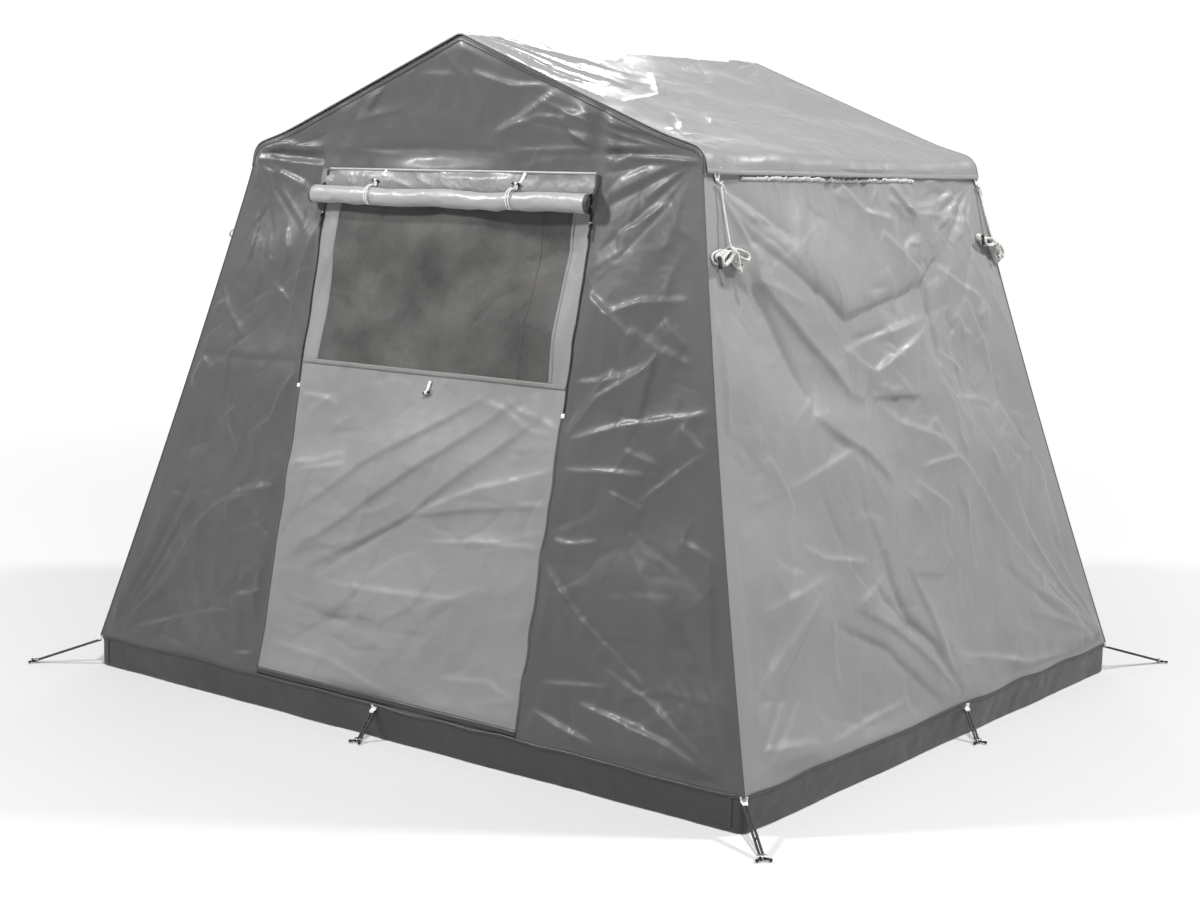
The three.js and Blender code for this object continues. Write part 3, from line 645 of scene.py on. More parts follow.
def scattered(seed, count, box, length, depth, width, slant=0.0, spread=3.0):
    """Random creases in a box ((a, b), (a, b)), about a slant in radians."""
    rng = np.random.default_rng(seed)
    found = []
    for _ in range(count):
        start = (rng.uniform(box[0][0], box[1][0]), rng.uniform(box[0][1], box[1][1]))
        angle = slant + rng.normal(0, spread)
        half = length * rng.uniform(0.6, 1.5) / 2
        middle = stepped(start, half, angle)
        end = stepped(middle, half, angle + rng.uniform(-0.5, 0.5))
        size = depth * rng.uniform(0.35, 1.0) * rng.choice([-1, 1])
        lean = rng.uniform(1.2, 3.0) ** rng.choice([-1, 1])
        found.append((size, width * rng.uniform(0.4, 1.4), lean, [start, middle, end]))
    return found


def fan(seed, apex, count, length, angles, depth, width):
    """Creases that run out from one point between two angles, in degrees."""
    rng = np.random.default_rng(seed)
    found = []
    for k in range(count):
        angle = math.radians(angles[0] + (angles[1] - angles[0]) * (k + rng.uniform(0.2, 0.8)) / count)
        span = length * rng.uniform(0.5, 1.2)
        middle = stepped(apex, span * 0.4, angle)
        end = stepped(middle, span * 0.6, angle + rng.uniform(-0.18, 0.18))
        size = depth * rng.uniform(0.5, 1.0) * (1 if k % 2 else -1)
        lean = rng.uniform(1.2, 2.6) ** rng.choice([-1, 1])
        found.append((size, width * rng.uniform(0.6, 1.3), lean, [stepped(apex, 0.02, angle), middle, end]))
    return found


def folds_in_mm(entries, boost=1.55, tighten=0.75, steep=0.32):
    """Creases written as (depth, width, points), in rough millimetres and metres, with the steep side on the
    line's left. A width below zero puts the steep side on its right."""
    return [(boost * depth / 1000, tighten * abs(width) / 1000, steep if width > 0 else 1 / steep, line)
            for depth, width, line in entries]


# The long folds of the side wall over y and height.
SIDE_FOLDS = folds_in_mm([
    (-8, 60, [(-0.67, 1.54), (-0.57, 1.44), (-0.38, 1.33), (-0.19, 1.205), (0.15, 1.26), (0.3, 1.295),
        (0.52, 1.42)]),
    (7, -50, [(-0.57, 1.43), (-0.57, 1.33), (-0.32, 1.1), (-0.21, 1), (-0.11, 0.98)]),
    (-6, 45, [(-0.6, 1.37), (-0.5, 1.17), (-0.42, 1)]),
    (6, -40, [(-0.43, 0.96), (-0.3, 0.88), (-0.21, 0.84), (-0.07, 0.74)]),
    (5, 28, [(-0.22, 1.13), (-0.04, 1.055), (0.12, 1.11), (0.29, 1.17)]),
    (5, 28, [(-0.21, 1.12), (0, 1.155), (0.31, 1.2)]),
    (-4, 30, [(-0.16, 1.15), (0.06, 1.17)]),
    (5, -20, [(-0.08, 0.985), (0.02, 0.98), (0.17, 0.97)]),
    (7, 55, [(-0.06, 0.97), (0.05, 0.9), (0.22, 0.84), (0.38, 0.71), (0.5, 0.58), (0.65, 0.44),
        (0.85, 0.27), (1.06, 0.1)]),
    (-7, -45, [(0.46, 0.66), (0.65, 0.46), (0.78, 0.31), (0.99, 0.11)]),
    (4, 22, [(0.3, 1.02), (0.38, 0.95), (0.54, 0.935), (0.62, 0.91)]),
    (-7, -38, [(0.67, 1.06), (0.69, 0.93), (0.76, 0.82), (0.87, 0.68), (0.92, 0.5), (0.95, 0.28)]),
    (6, 26, [(0.65, 0.92), (0.72, 0.8), (0.89, 0.65)]),
    (-8, 42, [(-0.19, 0.57), (-0.17, 0.45), (-0.12, 0.36), (-0.02, 0.28), (0.07, 0.12)]),
    (5, -32, [(-0.07, 0.52), (-0.02, 0.38), (0.02, 0.24)]),
    (4, 16, [(-0.6, 0.635), (-0.5, 0.59), (-0.29, 0.55)]),
    (3.5, 16, [(-0.39, 0.45), (-0.2, 0.505)]),
    (4, 24, [(-0.69, 0.88), (-0.59, 0.73)]),
    (5, 20, [(-0.06, 1.595), (0.05, 1.51), (0.19, 1.485)]),
    (5, 20, [(0.12, 1.45), (0.2, 1.38), (0.3, 1.325)]),
    (5, -18, [(0.2, 1.585), (0.24, 1.54), (0.32, 1.485)]),
    (4, 22, [(0.26, 1.515), (0.45, 1.53), (0.6, 1.56)]),
    (4, 20, [(0.3, 1.5), (0.5, 1.495), (0.64, 1.47)]),
    (5, 20, [(0.57, 1.58), (0.61, 1.52), (0.66, 1.45)]),
    (4, 20, [(0.1, 0.77), (0.28, 0.78), (0.4, 0.72)]),
    (4, 18, [(0.05, 0.735), (0.1, 0.7), (0.22, 0.63)]),
    (3.5, 18, [(-0.64, 0.135), (-0.2, 0.165)]),
    (6, 20, [(0.08, 0.23), (0.32, 0.185), (0.5, 0.135), (1.02, 0.105)]),
    (3.5, 18, [(-0.97, 0.185), (-0.7, 0.155)]),
    (4, 60, [(-0.73, 1.58), (-0.82, 1.1), (-0.93, 0.5), (-1, 0.15)]),
    (-3, 30, [(-0.8, 1.3), (-0.86, 0.9), (-0.92, 0.45)]),
    (4, 24, [(0.55, 1.24), (0.62, 1.12), (0.68, 1)]),
    (4, 22, [(0.43, 1.34), (0.52, 1.29), (0.64, 1.24)]),
    (-4, 22, [(0.33, 1.3), (0.33, 1.04)]),
    (4, 16, [(0.34, 1.09), (0.41, 1.06), (0.49, 1.025)]),
    (4, 18, [(0.5, 1.2), (0.525, 1.14), (0.57, 1.13)]),
    (-5, 36, [(-0.52, 0.42), (-0.28, 0.31), (-0.05, 0.12)]),
    (5, -34, [(-0.42, 0.45), (-0.16, 0.32), (0.05, 0.13)]),
    (-4, 30, [(-0.3, 0.5), (-0.08, 0.31)]),
    (3, 20, [(0.22, 0.52), (0.1, 0.46), (-0.06, 0.49)]),
    (3, 30, [(-0.6, 0.78), (-0.25, 0.86)]),
    (3, 40, [(-0.98, 0.28), (-0.7, 0.44), (-0.48, 0.55)]),
    (3, 30, [(-0.85, 0.5), (-0.5, 0.545)]),
])

# The long folds of the window wall over x and height: the panel, the dark cloth on both sides, the gable.
FRONT_FOLDS = folds_in_mm([
    (5, 34, [(0.44, 0.95), (0.2, 0.77), (0, 0.625), (-0.2, 0.52), (-0.38, 0.43)]),
    (4, -30, [(0.53, 0.815), (0.25, 0.73), (0, 0.625)]),
    (4, 30, [(0.53, 0.715), (0.25, 0.675), (0, 0.625)]),
    (5, 36, [(0.36, 0.99), (0.1, 0.81), (-0.15, 0.655), (-0.3, 0.55), (-0.44, 0.47)]),
    (4.5, 30, [(0.25, 0.99), (0, 0.85), (-0.2, 0.75), (-0.34, 0.65), (-0.46, 0.575)]),
    (3.5, 20, [(-0.51, 0.725), (-0.38, 0.745), (-0.28, 0.78)]),
    (3, 20, [(-0.45, 0.71), (-0.27, 0.745)]),
    (-3, 30, [(0.15, 0.7), (-0.1, 0.56), (-0.34, 0.41)]),
    (2.5, 20, [(0.05, 0.56), (0.28, 0.59), (0.5, 0.6)]),
    (2.5, 22, [(-0.3, 0.4), (0, 0.41), (0.3, 0.43)]),
    (2.5, 18, [(0.2, 0.205), (0.38, 0.225), (0.5, 0.19)]),
    (2.5, 20, [(-0.5, 0.2), (-0.2, 0.19), (0.05, 0.13)]),
    (-2.5, 26, [(-0.45, 0.33), (-0.15, 0.3), (0.15, 0.31)]),
    (3, 14, [(0.2, 0.975), (0.3, 0.955), (0.4, 0.905), (0.48, 0.9)]),
    (3, 14, [(0.31, 0.99), (0.35, 0.955), (0.43, 0.945)]),
    (3, 14, [(0.41, 1.01), (0.43, 0.94), (0.5, 0.915)]),
    (3, 16, [(-0.5, 0.93), (-0.4, 0.93), (-0.34, 0.91)]),
    (2.5, 14, [(-0.46, 0.88), (-0.36, 0.94)]),
    # dark cloth to the right of the panel
    (5, 22, [(0.53, 0.9), (0.58, 0.99), (0.66, 1.09)]),
    (5, 22, [(0.53, 0.9), (0.62, 1.01), (0.75, 1.09), (0.83, 1.16)]),
    (4, 22, [(0.54, 0.89), (0.72, 0.95), (0.98, 1.005)]),
    (4, 22, [(0.53, 1.045), (0.64, 1.06), (0.76, 1.1)]),
    (5, 22, [(0.8, 1.155), (0.775, 1.05), (0.765, 0.97)]),
    (4, 20, [(0.53, 0.81), (0.7, 0.825), (0.86, 0.83)]),
    (5, 18, [(0.54, 1.285), (0.62, 1.235), (0.73, 1.165)]),
    (4, 18, [(0.6, 1.225), (0.72, 1.27), (0.86, 1.285)]),
    (4, 18, [(0.7, 1.2), (0.81, 1.15), (0.9, 1.12)]),
    (4, 18, [(0.8, 1.23), (0.88, 1.16)]),
    (4, 18, [(0.6, 1.44), (0.68, 1.48), (0.76, 1.535)]),
    (6, 16, [(0.53, 0.555), (0.6, 0.5), (0.65, 0.455), (0.72, 0.41), (0.9, 0.3)]),
    (4, 18, [(0.53, 0.63), (0.6, 0.625), (0.69, 0.645)]),
    (4, 18, [(0.68, 0.78), (0.75, 0.76), (0.82, 0.74)]),
    (4, 18, [(0.8, 0.76), (0.9, 0.84), (1, 0.91)]),
    (4, 14, [(0.74, 0.885), (0.8, 0.87), (0.86, 0.85)]),
    (4, 14, [(0.9, 0.965), (0.98, 0.905)]),
    (7, 26, [(0.7, 0.225), (0.85, 0.205), (1, 0.18), (1.19, 0.115)]),
    (6, 24, [(0.55, 0.185), (0.66, 0.155), (0.84, 0.115)]),
    (3, 20, [(0.56, 0.255), (0.8, 0.285)]),
    (5, 30, [(0.72, 0.34), (0.95, 0.26), (1.17, 0.13)]),
    # dark cloth to the left of the panel
    (5, 20, [(-0.93, 0.45), (-0.82, 0.545), (-0.7, 0.62), (-0.6, 0.655)]),
    (4, 18, [(-0.75, 0.575), (-0.66, 0.62), (-0.56, 0.65)]),
    (5, 20, [(-0.71, 0.785), (-0.61, 0.845), (-0.575, 0.93), (-0.53, 1)]),
    (4, 18, [(-0.85, 0.81), (-0.78, 0.87)]),
    (6, 22, [(-1.1, 0.14), (-0.92, 0.2), (-0.76, 0.245), (-0.6, 0.27)]),
    (5, 18, [(-0.66, 0.305), (-0.58, 0.325), (-0.52, 0.345)]),
    (5, 20, [(-1.07, 0.105), (-0.8, 0.105), (-0.5, 0.125)]),
    (4, 16, [(-0.62, 0.14), (-0.55, 0.15), (-0.52, 0.16)]),
    (-5, 50, [(-1.2, 0.13), (-1.05, 0.38), (-0.93, 0.62)]),
    (4, 40, [(-1.15, 0.14), (-0.95, 0.36), (-0.84, 0.52)]),
    (4, 20, [(-0.6, 1.1), (-0.595, 1.22), (-0.57, 1.33), (-0.54, 1.43)]),
    (3.5, 16, [(-0.69, 1.255), (-0.61, 1.2)]),
    (3.5, 22, [(-0.8, 1.46), (-0.805, 1.32)]),
    (3.5, 22, [(-0.66, 1.42), (-0.63, 1.33), (-0.66, 1.28)]),
    (3.5, 18, [(-0.99, 0.92), (-0.94, 1.01)]),
    (3, 18, [(-0.97, 1.15), (-0.88, 1.19)]),
    (-2.5, 12, [(-1, 1.022), (-0.75, 1.018), (-0.52, 1.028)]),
    # the gable and the drapes in the eave corners
    (6, 18, [(-0.85, 1.672), (-0.72, 1.675), (-0.56, 1.665)]),
    (-7, 16, [(-0.86, 1.65), (-0.72, 1.648), (-0.54, 1.636)]),
    (6, 16, [(-0.86, 1.632), (-0.7, 1.622), (-0.55, 1.616)]),
    (4, 16, [(-0.84, 1.6), (-0.74, 1.585), (-0.62, 1.56)]),
    (6, 18, [(0.85, 1.672), (0.7, 1.668), (0.5, 1.672), (0.42, 1.7), (0.37, 1.75)]),
    (-7, 16, [(0.86, 1.648), (0.7, 1.652), (0.48, 1.655)]),
    (6, 14, [(0.86, 1.632), (0.72, 1.64), (0.58, 1.65)]),
    (5, 16, [(0.8, 1.69), (0.66, 1.712), (0.52, 1.735)]),
    (5, 26, [(0.14, 1.7), (0.25, 1.765), (0.38, 1.835)]),
    (4, 22, [(0.38, 1.755), (0.52, 1.77), (0.64, 1.765)]),
    (4, 26, [(0.12, 1.71), (0.3, 1.755), (0.4, 1.75)]),
    (4, 22, [(0.05, 1.88), (0.2, 1.84), (0.36, 1.845)]),
    (4, 22, [(-0.44, 1.83), (-0.5, 1.76)]),
    (5, 24, [(-0.3, 1.845), (-0.36, 1.775)]),
    (4, 24, [(-0.12, 1.93), (-0.22, 1.86)]),
    (3, 26, [(-0.55, 1.78), (-0.6, 1.72)]),
    (-3, 30, [(-0.45, 1.66), (-0.1, 1.672), (0.15, 1.66)]),
    (3, 24, [(-0.25, 1.885), (0, 1.87)]),
])

# The folds of the roof's right slope over y and the distance down from the ridge.
ROOF_FOLDS = folds_in_mm([
    (6, 26, [(-0.69, 0.02), (-0.6, 0.13), (-0.5, 0.25), (-0.4, 0.37)]),
    (-6, 24, [(-0.66, 0.01), (-0.57, 0.1), (-0.47, 0.23)]),
    (6, 30, [(-0.64, 0), (-0.5, 0.08), (-0.4, 0.15), (-0.27, 0.26)]),
    (6, 20, [(-0.71, 0.06), (-0.67, 0.22), (-0.63, 0.43)]),
    (-5, 20, [(-0.7, 0.05), (-0.65, 0.18), (-0.58, 0.36)]),
    (5, 20, [(-0.7, 0.04), (-0.63, 0.19), (-0.52, 0.38)]),
    (4, 22, [(-0.09, 0.2), (-0.2, 0.3), (-0.31, 0.4), (-0.5, 0.48), (-0.65, 0.54)]),
    (4, 14, [(-0.44, 0.565), (-0.5, 0.64), (-0.58, 0.7)]),
    (4, 12, [(-0.62, 0.705), (-0.69, 0.745)]),
    (4, 12, [(-0.52, 0.735), (-0.6, 0.76), (-0.69, 0.785)]),
    (3, 12, [(-0.27, 0.57), (-0.36, 0.65)]),
    (3, 14, [(0.37, 0.605), (0.5, 0.535)]),
    (3, 16, [(0.2, 0.52), (0.36, 0.44)]),
    (3, 14, [(0.4, 0.41), (0.47, 0.345)]),
    (4, 16, [(0.6, 0.42), (0.7, 0.38), (0.73, 0.3)]),
    (4, 16, [(0.68, 0.12), (0.75, 0.06)]),
    (4, 18, [(0.66, 0.74), (0.72, 0.8)]),
    (3, 20, [(0.7, 0.66), (0.6, 0.72), (0.5, 0.74)]),
    (4, 20, [(0.72, 0.25), (0.62, 0.28)]),
])


def mirrored(creases, jitter, seed):
    """The same kind of folds the other way round, each moved a little, for a wall out of sight."""
    rng = np.random.default_rng(seed)
    found = []
    for depth, width, lean, line in creases:
        shift = rng.normal(0, jitter, 2)
        line = [(-a + shift[0], b + shift[1]) for a, b in line]
        found.append((depth * rng.uniform(0.5, 1.1), width * rng.uniform(0.8, 1.3), 1 / lean, line))
    return found


# ---------------------------------------------------------------- surfaces

class Surface:
    """A sheet's shape: base(a, b) gives points and outward normals, and the relief moves them along the normals."""

    def __init__(self, base, low, high, relief):
        self.base = base
        self.low = np.array(low) - FIELD_STEP
        counts = np.ceil((np.array(high) - self.low) / FIELD_STEP).astype(int) + 2
        a, b = (low + FIELD_STEP * np.arange(count) for low, count in zip(self.low, counts))
        self.field = relief(*np.meshgrid(a, b, indexing="ij"))

    def height(self, a, b):
        place_a = np.clip((a - self.low[0]) / FIELD_STEP, 0, self.field.shape[0] - 1.001)
        place_b = np.clip((b - self.low[1]) / FIELD_STEP, 0, self.field.shape[1] - 1.001)
        i, j = place_a.astype(int), place_b.astype(int)
        u, v = place_a - i, place_b - j
        near = self.field[i, j] * (1 - u) + self.field[i + 1, j] * u
        far = self.field[i, j + 1] * (1 - u) + self.field[i + 1, j + 1] * u
        return near * (1 - v) + far * v

    def at(self, a, b, lift=0.0):
        a, b = np.broadcast_arrays(np.asarray(a, float), np.asarray(b, float))
        points, normals = self.base(a, b)
        return points + normals * (self.height(a, b) + lift)[..., None]

    def axes(self, a, b):
        """Unit axes along a, along b and outward at one place."""
        (here, beside), normals = self.base(np.array([a, a + 1e-3]), np.array([b, b]))
        along = unit(beside - here)
        return np.stack([along, np.cross(normals[0], along), normals[0]])


def reach(axis, z):
    """How far a wall's cloth stands from the middle at a height: sloping, then upright above the eave."""
    sharp = 40.0
    share = (z - BAND.z) / (EAVE.z - BAND.z)
    share = 1 - np.log1p(np.exp(np.clip((1 - share) * sharp, -50, 50))) / sharp
    base = getattr(BAND, axis)
    pull = SIDE_PULL if axis == "x" else 0.0
    return base + (getattr(EAVE, axis) - base) * share - WALL_INSET - pull * np.clip(4 * share * (1 - share), 0, 1)


def wall_base(axis, turn):
    """A wall's base face: seen from out of the tent, a runs to the right and b is the height."""
    def base(a, b):
        away = reach(axis, b)
        slope = (reach(axis, b + 1e-3) - reach(axis, b - 1e-3)) / 2e-3
        flat = np.zeros_like(a)
        if axis == "y":
            return np.stack([a * turn, -away * turn, b], -1), unit(np.stack([flat, flat - turn, -slope], -1))
        return np.stack([away * turn, a * turn, b], -1), unit(np.stack([flat + turn, flat, -slope], -1))
    return base


def fillet(before, corner, after, radius, steps=10):
    """The points of an arc that rounds a corner."""
    to_before, to_after = unit(before - corner), unit(after - corner)
    half = math.acos(float(to_before @ to_after)) / 2
    centre = corner + unit(to_before + to_after) * radius / math.sin(half)
    start = corner + to_before * radius / math.tan(half) - centre
    end = corner + to_after * radius / math.tan(half) - centre
    angle = math.acos(float(start @ end) / radius**2)
    t = np.linspace(0, 1, steps + 1)[:, None]
    return centre + (start * np.sin((1 - t) * angle) + end * np.sin(t * angle)) / math.sin(angle)


def roof_section():
    """The roof's cross-section from flap to flap, as (x, z) points with even steps."""
    flap = np.array([straight_reach("x", FLAP_Z), FLAP_Z])
    eave = np.array([EAVE.x, EAVE.z])
    pitch = (ROOF_HIGH.z - EAVE.z) / EAVE.x
    peak = np.array([0.0, ROOF_HIGH.z + RIDGE_RADIUS * (math.sqrt(1 + pitch**2) - 1)])
    ridge_bend = fillet(eave * (-1, 1), peak, eave, RIDGE_RADIUS)
    half = [ridge_bend[len(ridge_bend) // 2:], fillet(peak, eave, flap, EAVE_RADIUS), flap[None]]
    half = even(np.concatenate(half), 0.002)
    return np.concatenate([half[:0:-1] * (-1, 1), half])


def on_outline(outline, along, place, wrap=False):
    """Points of a flat outline at places measured along it, and the unit vectors along it there."""
    def at(shift):
        where = np.mod(place + shift, along[-1]) if wrap else place + shift
        return np.stack([np.interp(where, along, outline[:, k]) for k in (0, 1)], -1)
    return at(0.0), unit(at(4e-3) - at(-4e-3))


ROOF_SECTION = roof_section()
ROOF_ALONG = run_length(ROOF_SECTION)
ROOF_ALONG -= ROOF_ALONG[-1] / 2
ROOF_HALF = ROOF_ALONG[-1]
EAVE_AT = ROOF_HALF - (EAVE.z - FLAP_Z) - 0.004


def roof_base(a, b):
    """a is y, b is the distance from the ridge, positive to the right."""
    place, way = on_outline(ROOF_SECTION, ROOF_ALONG, b)
    return (np.stack([place[..., 0], a, place[..., 1]], -1),
            np.stack([-way[..., 1], np.zeros_like(a), way[..., 0]], -1))


def roof_relief(a, b):
    """Corners pushed out by the pole joints, a slight sag between them, and folds from the gable edges."""
    half = ROOF_HIGH.y
    edge = half - np.abs(a)
    down = np.abs(b)
    folds = (0.0010 + 0.0034 * smooth(down / 0.25)) * waves(a, b, 11, 0.45)
    folds += 0.0007 * ridged(a, b, 12, 0.16) + 0.0002 * ridged(a, b, 13, 0.05)
    creases = list(ROOF_FOLDS)
    creases += [(d, w, lean, [(p, -q) for p, q in line]) for d, w, lean, line in mirrored(ROOF_FOLDS, 0.05, 14)]
    creases += scattered(15, 90, ((-half, -0.9), (half, 0.9)), 0.22, 0.0020, 0.022)
    creases += scattered(24, 90, ((-half, 0.0), (-0.15, 0.50)), 0.10, 0.0022, 0.009)
    creases += fan(16, (half - 0.02, 0.02), 7, 0.42, (105, 170), 0.0045, 0.022)
    creases += fan(17, (half - 0.02, -0.02), 7, 0.42, (190, 255), 0.0045, 0.022)
    for side in (-1, 1):
        for end in (-1, 1):
            towards = math.degrees(math.atan2(-side, -end))
            creases += fan(18 + side + 3 * end, (end * (half - 0.03), side * 0.86), 7, 0.30,
                           (towards - 42, towards + 42), 0.0035, 0.018)
    lay_creases(folds, a, b, creases)
    inner = smooth(edge / 0.35)
    sag = -0.012 * np.sin(np.clip(down / EAVE_AT, 0, 1) * math.pi) * inner
    ridge_sag = -0.004 * np.exp(-(down / 0.12) ** 2) * smooth(edge / 0.3)
    droop = -0.004 * smooth(edge / 0.3) * np.exp(-((down - EAVE_AT) / 0.05) ** 2)
    corner = 0.011 * np.exp(-((edge / 0.10) ** 2)) * np.exp(-(((down - EAVE_AT) / 0.09) ** 2))
    return folds * smooth(edge / 0.04) * smooth((ROOF_HALF - down) / 0.04) + sag + ridge_sag + droop + corner


def roof_edge():
    """The roof's own edge over a gable: its heights, and how far from the middle it is at each."""
    b = np.linspace(0, ROOF_HALF, 500)
    edge = roof.at(np.full_like(b, -ROOF_HIGH.y), b, -0.0025)
    return edge[::-1, 2], np.abs(edge[::-1, 0])


def gable_edge(z):
    """How far a gable wall reaches from its middle line at a height: to the corner seam, then to the roof."""
    return np.where(z < FLAP_Z, reach("x", z), np.interp(z, *ROOF_EDGE))


def wall_swells(a, b, seed, swell):
    """The broad billow and the small wrinkles that every wall has."""
    return (0.0050 * waves(a, b, seed, swell) + 0.0002 * ridged(a, b, seed + 2, 0.055)
            + 0.0009 * ridged(a, b, seed + 1, 0.17 if swell == 0.50 else 0.18, (1.0, 1.3)))


def held_still(total, side, bottom, top, inner_side, inner_top, rim_top):
    """Folds fade towards the seams, and those that go inward fade sooner at the poles."""
    foot = smooth(bottom / 0.05)
    outward = smooth(side / 0.05) * foot * smooth(top / rim_top)
    inward = smooth(side / inner_side) * foot * smooth(top / inner_top)
    return np.where(total > 0, total * outward, total * inward)


def gable_relief(folds, seed):
    """Billow, creases and drapes of a gable wall, held still at its seams and beside its zips."""
    def relief(a, b):
        total = wall_swells(a, b, seed, 0.50)
        creases = list(folds)
        creases += scattered(seed + 3, 110, ((-1.2, 0.1), (1.2, 1.9)), 0.17, 0.0036, 0.014)
        creases += scattered(seed + 4, 60, ((-1.1, 0.1), (1.1, 0.7)), 0.30, 0.0036, 0.020, 0.4, 0.35)
        creases += scattered(seed + 12, 160, ((-1.1, 0.1), (1.1, 1.9)), 0.09, 0.0020, 0.008)
        for side in (-1, 1):
            away = (90 + 60 * side, 90 + 20 * side)
            inward, upward = ((180, 250), (150, 184)) if side > 0 else ((290, 360), (-4, 30))
            creases += fan(seed + 5 + side, (side * 1.20, 0.12), 8, 0.55, away, 0.0067, 0.022)
            creases += fan(seed + 8 + side, (side * 0.84, 1.64), 8, 0.34, inward, 0.0053, 0.015)
            creases += fan(seed + 15 + side, (side * 0.80, 1.655), 7, 0.55, upward, 0.0050, 0.012)
        creases += [(0.003, 0.018, 1.0, [(-0.50, 0.14), (0.0, 0.13), (0.50, 0.14)])]
        lay_creases(total, a, b, creases)
        side = gable_edge(b) - np.abs(a)
        top = np.interp(np.abs(a), ROOF_EDGE[1][::-1], ROOF_EDGE[0][::-1]) - b
        total = held_still(total * GABLE_DEPTH, side, b - BAND.z, top, 0.14, 0.10, 0.04)
        total *= 0.12 + 0.88 * smooth(np.abs(np.abs(a) - SLIDER_X) / 0.045)
        across = smooth((PANEL_HIGH.x + 0.05 - np.abs(a)) / 0.05)
        return total * (1 - 0.85 * across * (1 - smooth(np.abs(b - PANEL_HIGH.z) / 0.045)))
    return relief


def side_relief(folds, seed):
    """Folds of a side wall, with ripples that hang from the gathered strip."""
    def relief(a, b):
        total = wall_swells(a, b, seed, 0.55)
        creases = list(folds)
        creases += scattered(seed + 3, 110, ((-1.0, 0.1), (1.0, 1.6)), 0.16, 0.0036, 0.014)
        creases += scattered(seed + 4, 70, ((0.05, 0.7), (0.80, 1.6)), 0.11, 0.0045, 0.012)
        creases += scattered(seed + 12, 170, ((-1.0, 0.1), (1.0, 1.6)), 0.09, 0.0018, 0.008)
        creases += fan(seed + 5, (-1.03, 0.12), 7, 0.60, (20, 70), 0.0053, 0.022)
        creases += fan(seed + 6, (1.03, 0.12), 8, 0.60, (110, 165), 0.0075, 0.024)
        creases += fan(seed + 7, (-0.74, 1.60), 7, 0.40, (285, 345), 0.0067, 0.019)
        creases += fan(seed + 8, (0.74, 1.60), 8, 0.40, (195, 258), 0.0067, 0.018)
        lay_creases(total, a, b, creases)
        inside = smooth((a + 0.62) / 0.10) * smooth((0.38 - a) / 0.10)
        ripple = waves(a, b, seed + 9, 0.052, (1.0, 7.0)) * np.exp(-np.clip(1.60 - b, 0, 2) / 0.12)
        total += 0.0013 * inside * ripple
        side = reach("y", b) - np.abs(a)
        return held_still(total * SIDE_DEPTH, side, b - BAND.z, SIDE_WALL_TOP - b, 0.16, 0.03, 0.03)
    return relief


BAND_POINTS = rounded_rectangle(2 * BAND.x - 0.002, 2 * BAND.y - 0.002, BAND_CORNER_RADIUS, 8)
BAND_POINTS = np.roll(BAND_POINTS, 9, axis=0)
BAND_POINTS = np.concatenate([BAND_POINTS, BAND_POINTS[:1]])
BAND_ALONG = run_length(BAND_POINTS)
BAND_LENGTH = BAND_ALONG[-1]


def band_base(a, b):
    """a is the distance round the groundsheet's outline, b the height."""
    place, way = on_outline(BAND_POINTS, BAND_ALONG, a, wrap=True)
    return np.stack([place[..., 0], place[..., 1], b], -1), np.stack([way[..., 1], -way[..., 0], np.zeros_like(a)], -1)


def round_the_band(a):
    """A circle that stands for the outline, so that random fields meet where it closes."""
    angle = TURN * a / BAND_LENGTH
    return 1.5 * np.cos(angle), 1.5 * np.sin(angle)


def band_relief(a, b):
    x, y = round_the_band(a)
    total = 0.0016 * waves(x, y + b, 61, 0.40) + 0.0008 * ridged(x + b, y, 62, 0.16)
    rng = np.random.default_rng(63)
    for _ in range(150):
        start = rng.uniform(0.05, BAND_LENGTH - 0.3)
        run = rng.uniform(-0.05, 0.25)
        crease = (rng.uniform(-0.002, 0.0024), rng.uniform(0.008, 0.02), rng.uniform(0.6, 1.6),
                  [(start, rng.uniform(0.0, 0.05)), (start + run, rng.uniform(0.04, 0.10))])
        lay_creases(total, a, b, [crease])
    return np.clip(total, -0.003, 0.003) * smooth((BAND.z + 0.01 - b) / 0.03)


# ---------------------------------------------------------------- trims that lie on a surface

def run_and_side(line):
    """Unit vectors along a line of (a, b) places and to its right."""
    run = unit(np.gradient(line, axis=0))
    return run, np.stack([run[:, 1], -run[:, 0]], -1)


def strip(surface, line, width, thickness, lift=0.0, across=3, step=TRIM_STEP, crown=0.0, taper=(1.0, 1.0)):
    """A closed flat strip along a line of (a, b) places on a surface."""
    line = even(line, step)
    along = run_length(line)
    shares = np.linspace(-0.5, 0.5, across)
    size = width * np.interp(along / along[-1], np.linspace(0, 1, len(taper)), taper)
    places = line[:, None] + run_and_side(line)[1][:, None] * (shares * size[:, None])[..., None]
    under = surface.at(places[..., 0], places[..., 1], lift)
    over = surface.at(places[..., 0], places[..., 1], lift + thickness + crown * (1 - (2 * shares) ** 2))
    flat = np.concatenate([shares, shares[::-1]]) * width
    return (np.concatenate([under, over[:, ::-1]], axis=1), tube_faces(len(line), 2 * across),
            uv_grid(flat, along[:, None]))


def stitches(surface, line, lift, pitch=0.0055, length=0.0034, width=0.0009):
    """A row of thread stitches along a line: small raised lozenges."""
    line = even(line, pitch)
    run, sideways = run_and_side(line)
    corners = []
    for along, side, up in [(-1, 0, 0), (0, -1, 0), (1, 0, 0), (0, 1, 0), (0, 0, 1)]:
        place = line + run * along * length / 2 + sideways * side * width / 2
        corners.append(surface.at(place[:, 0], place[:, 1], lift + up * 0.0006))
    base = np.arange(len(line))[:, None] * 5
    top = np.concatenate([base + face for face in np.array([(0, 1, 4), (1, 2, 4), (2, 3, 4), (3, 0, 4)])])
    return np.stack(corners, 1), [*top.tolist(), *(base + np.array([(3, 2, 1, 0)])).tolist()], None


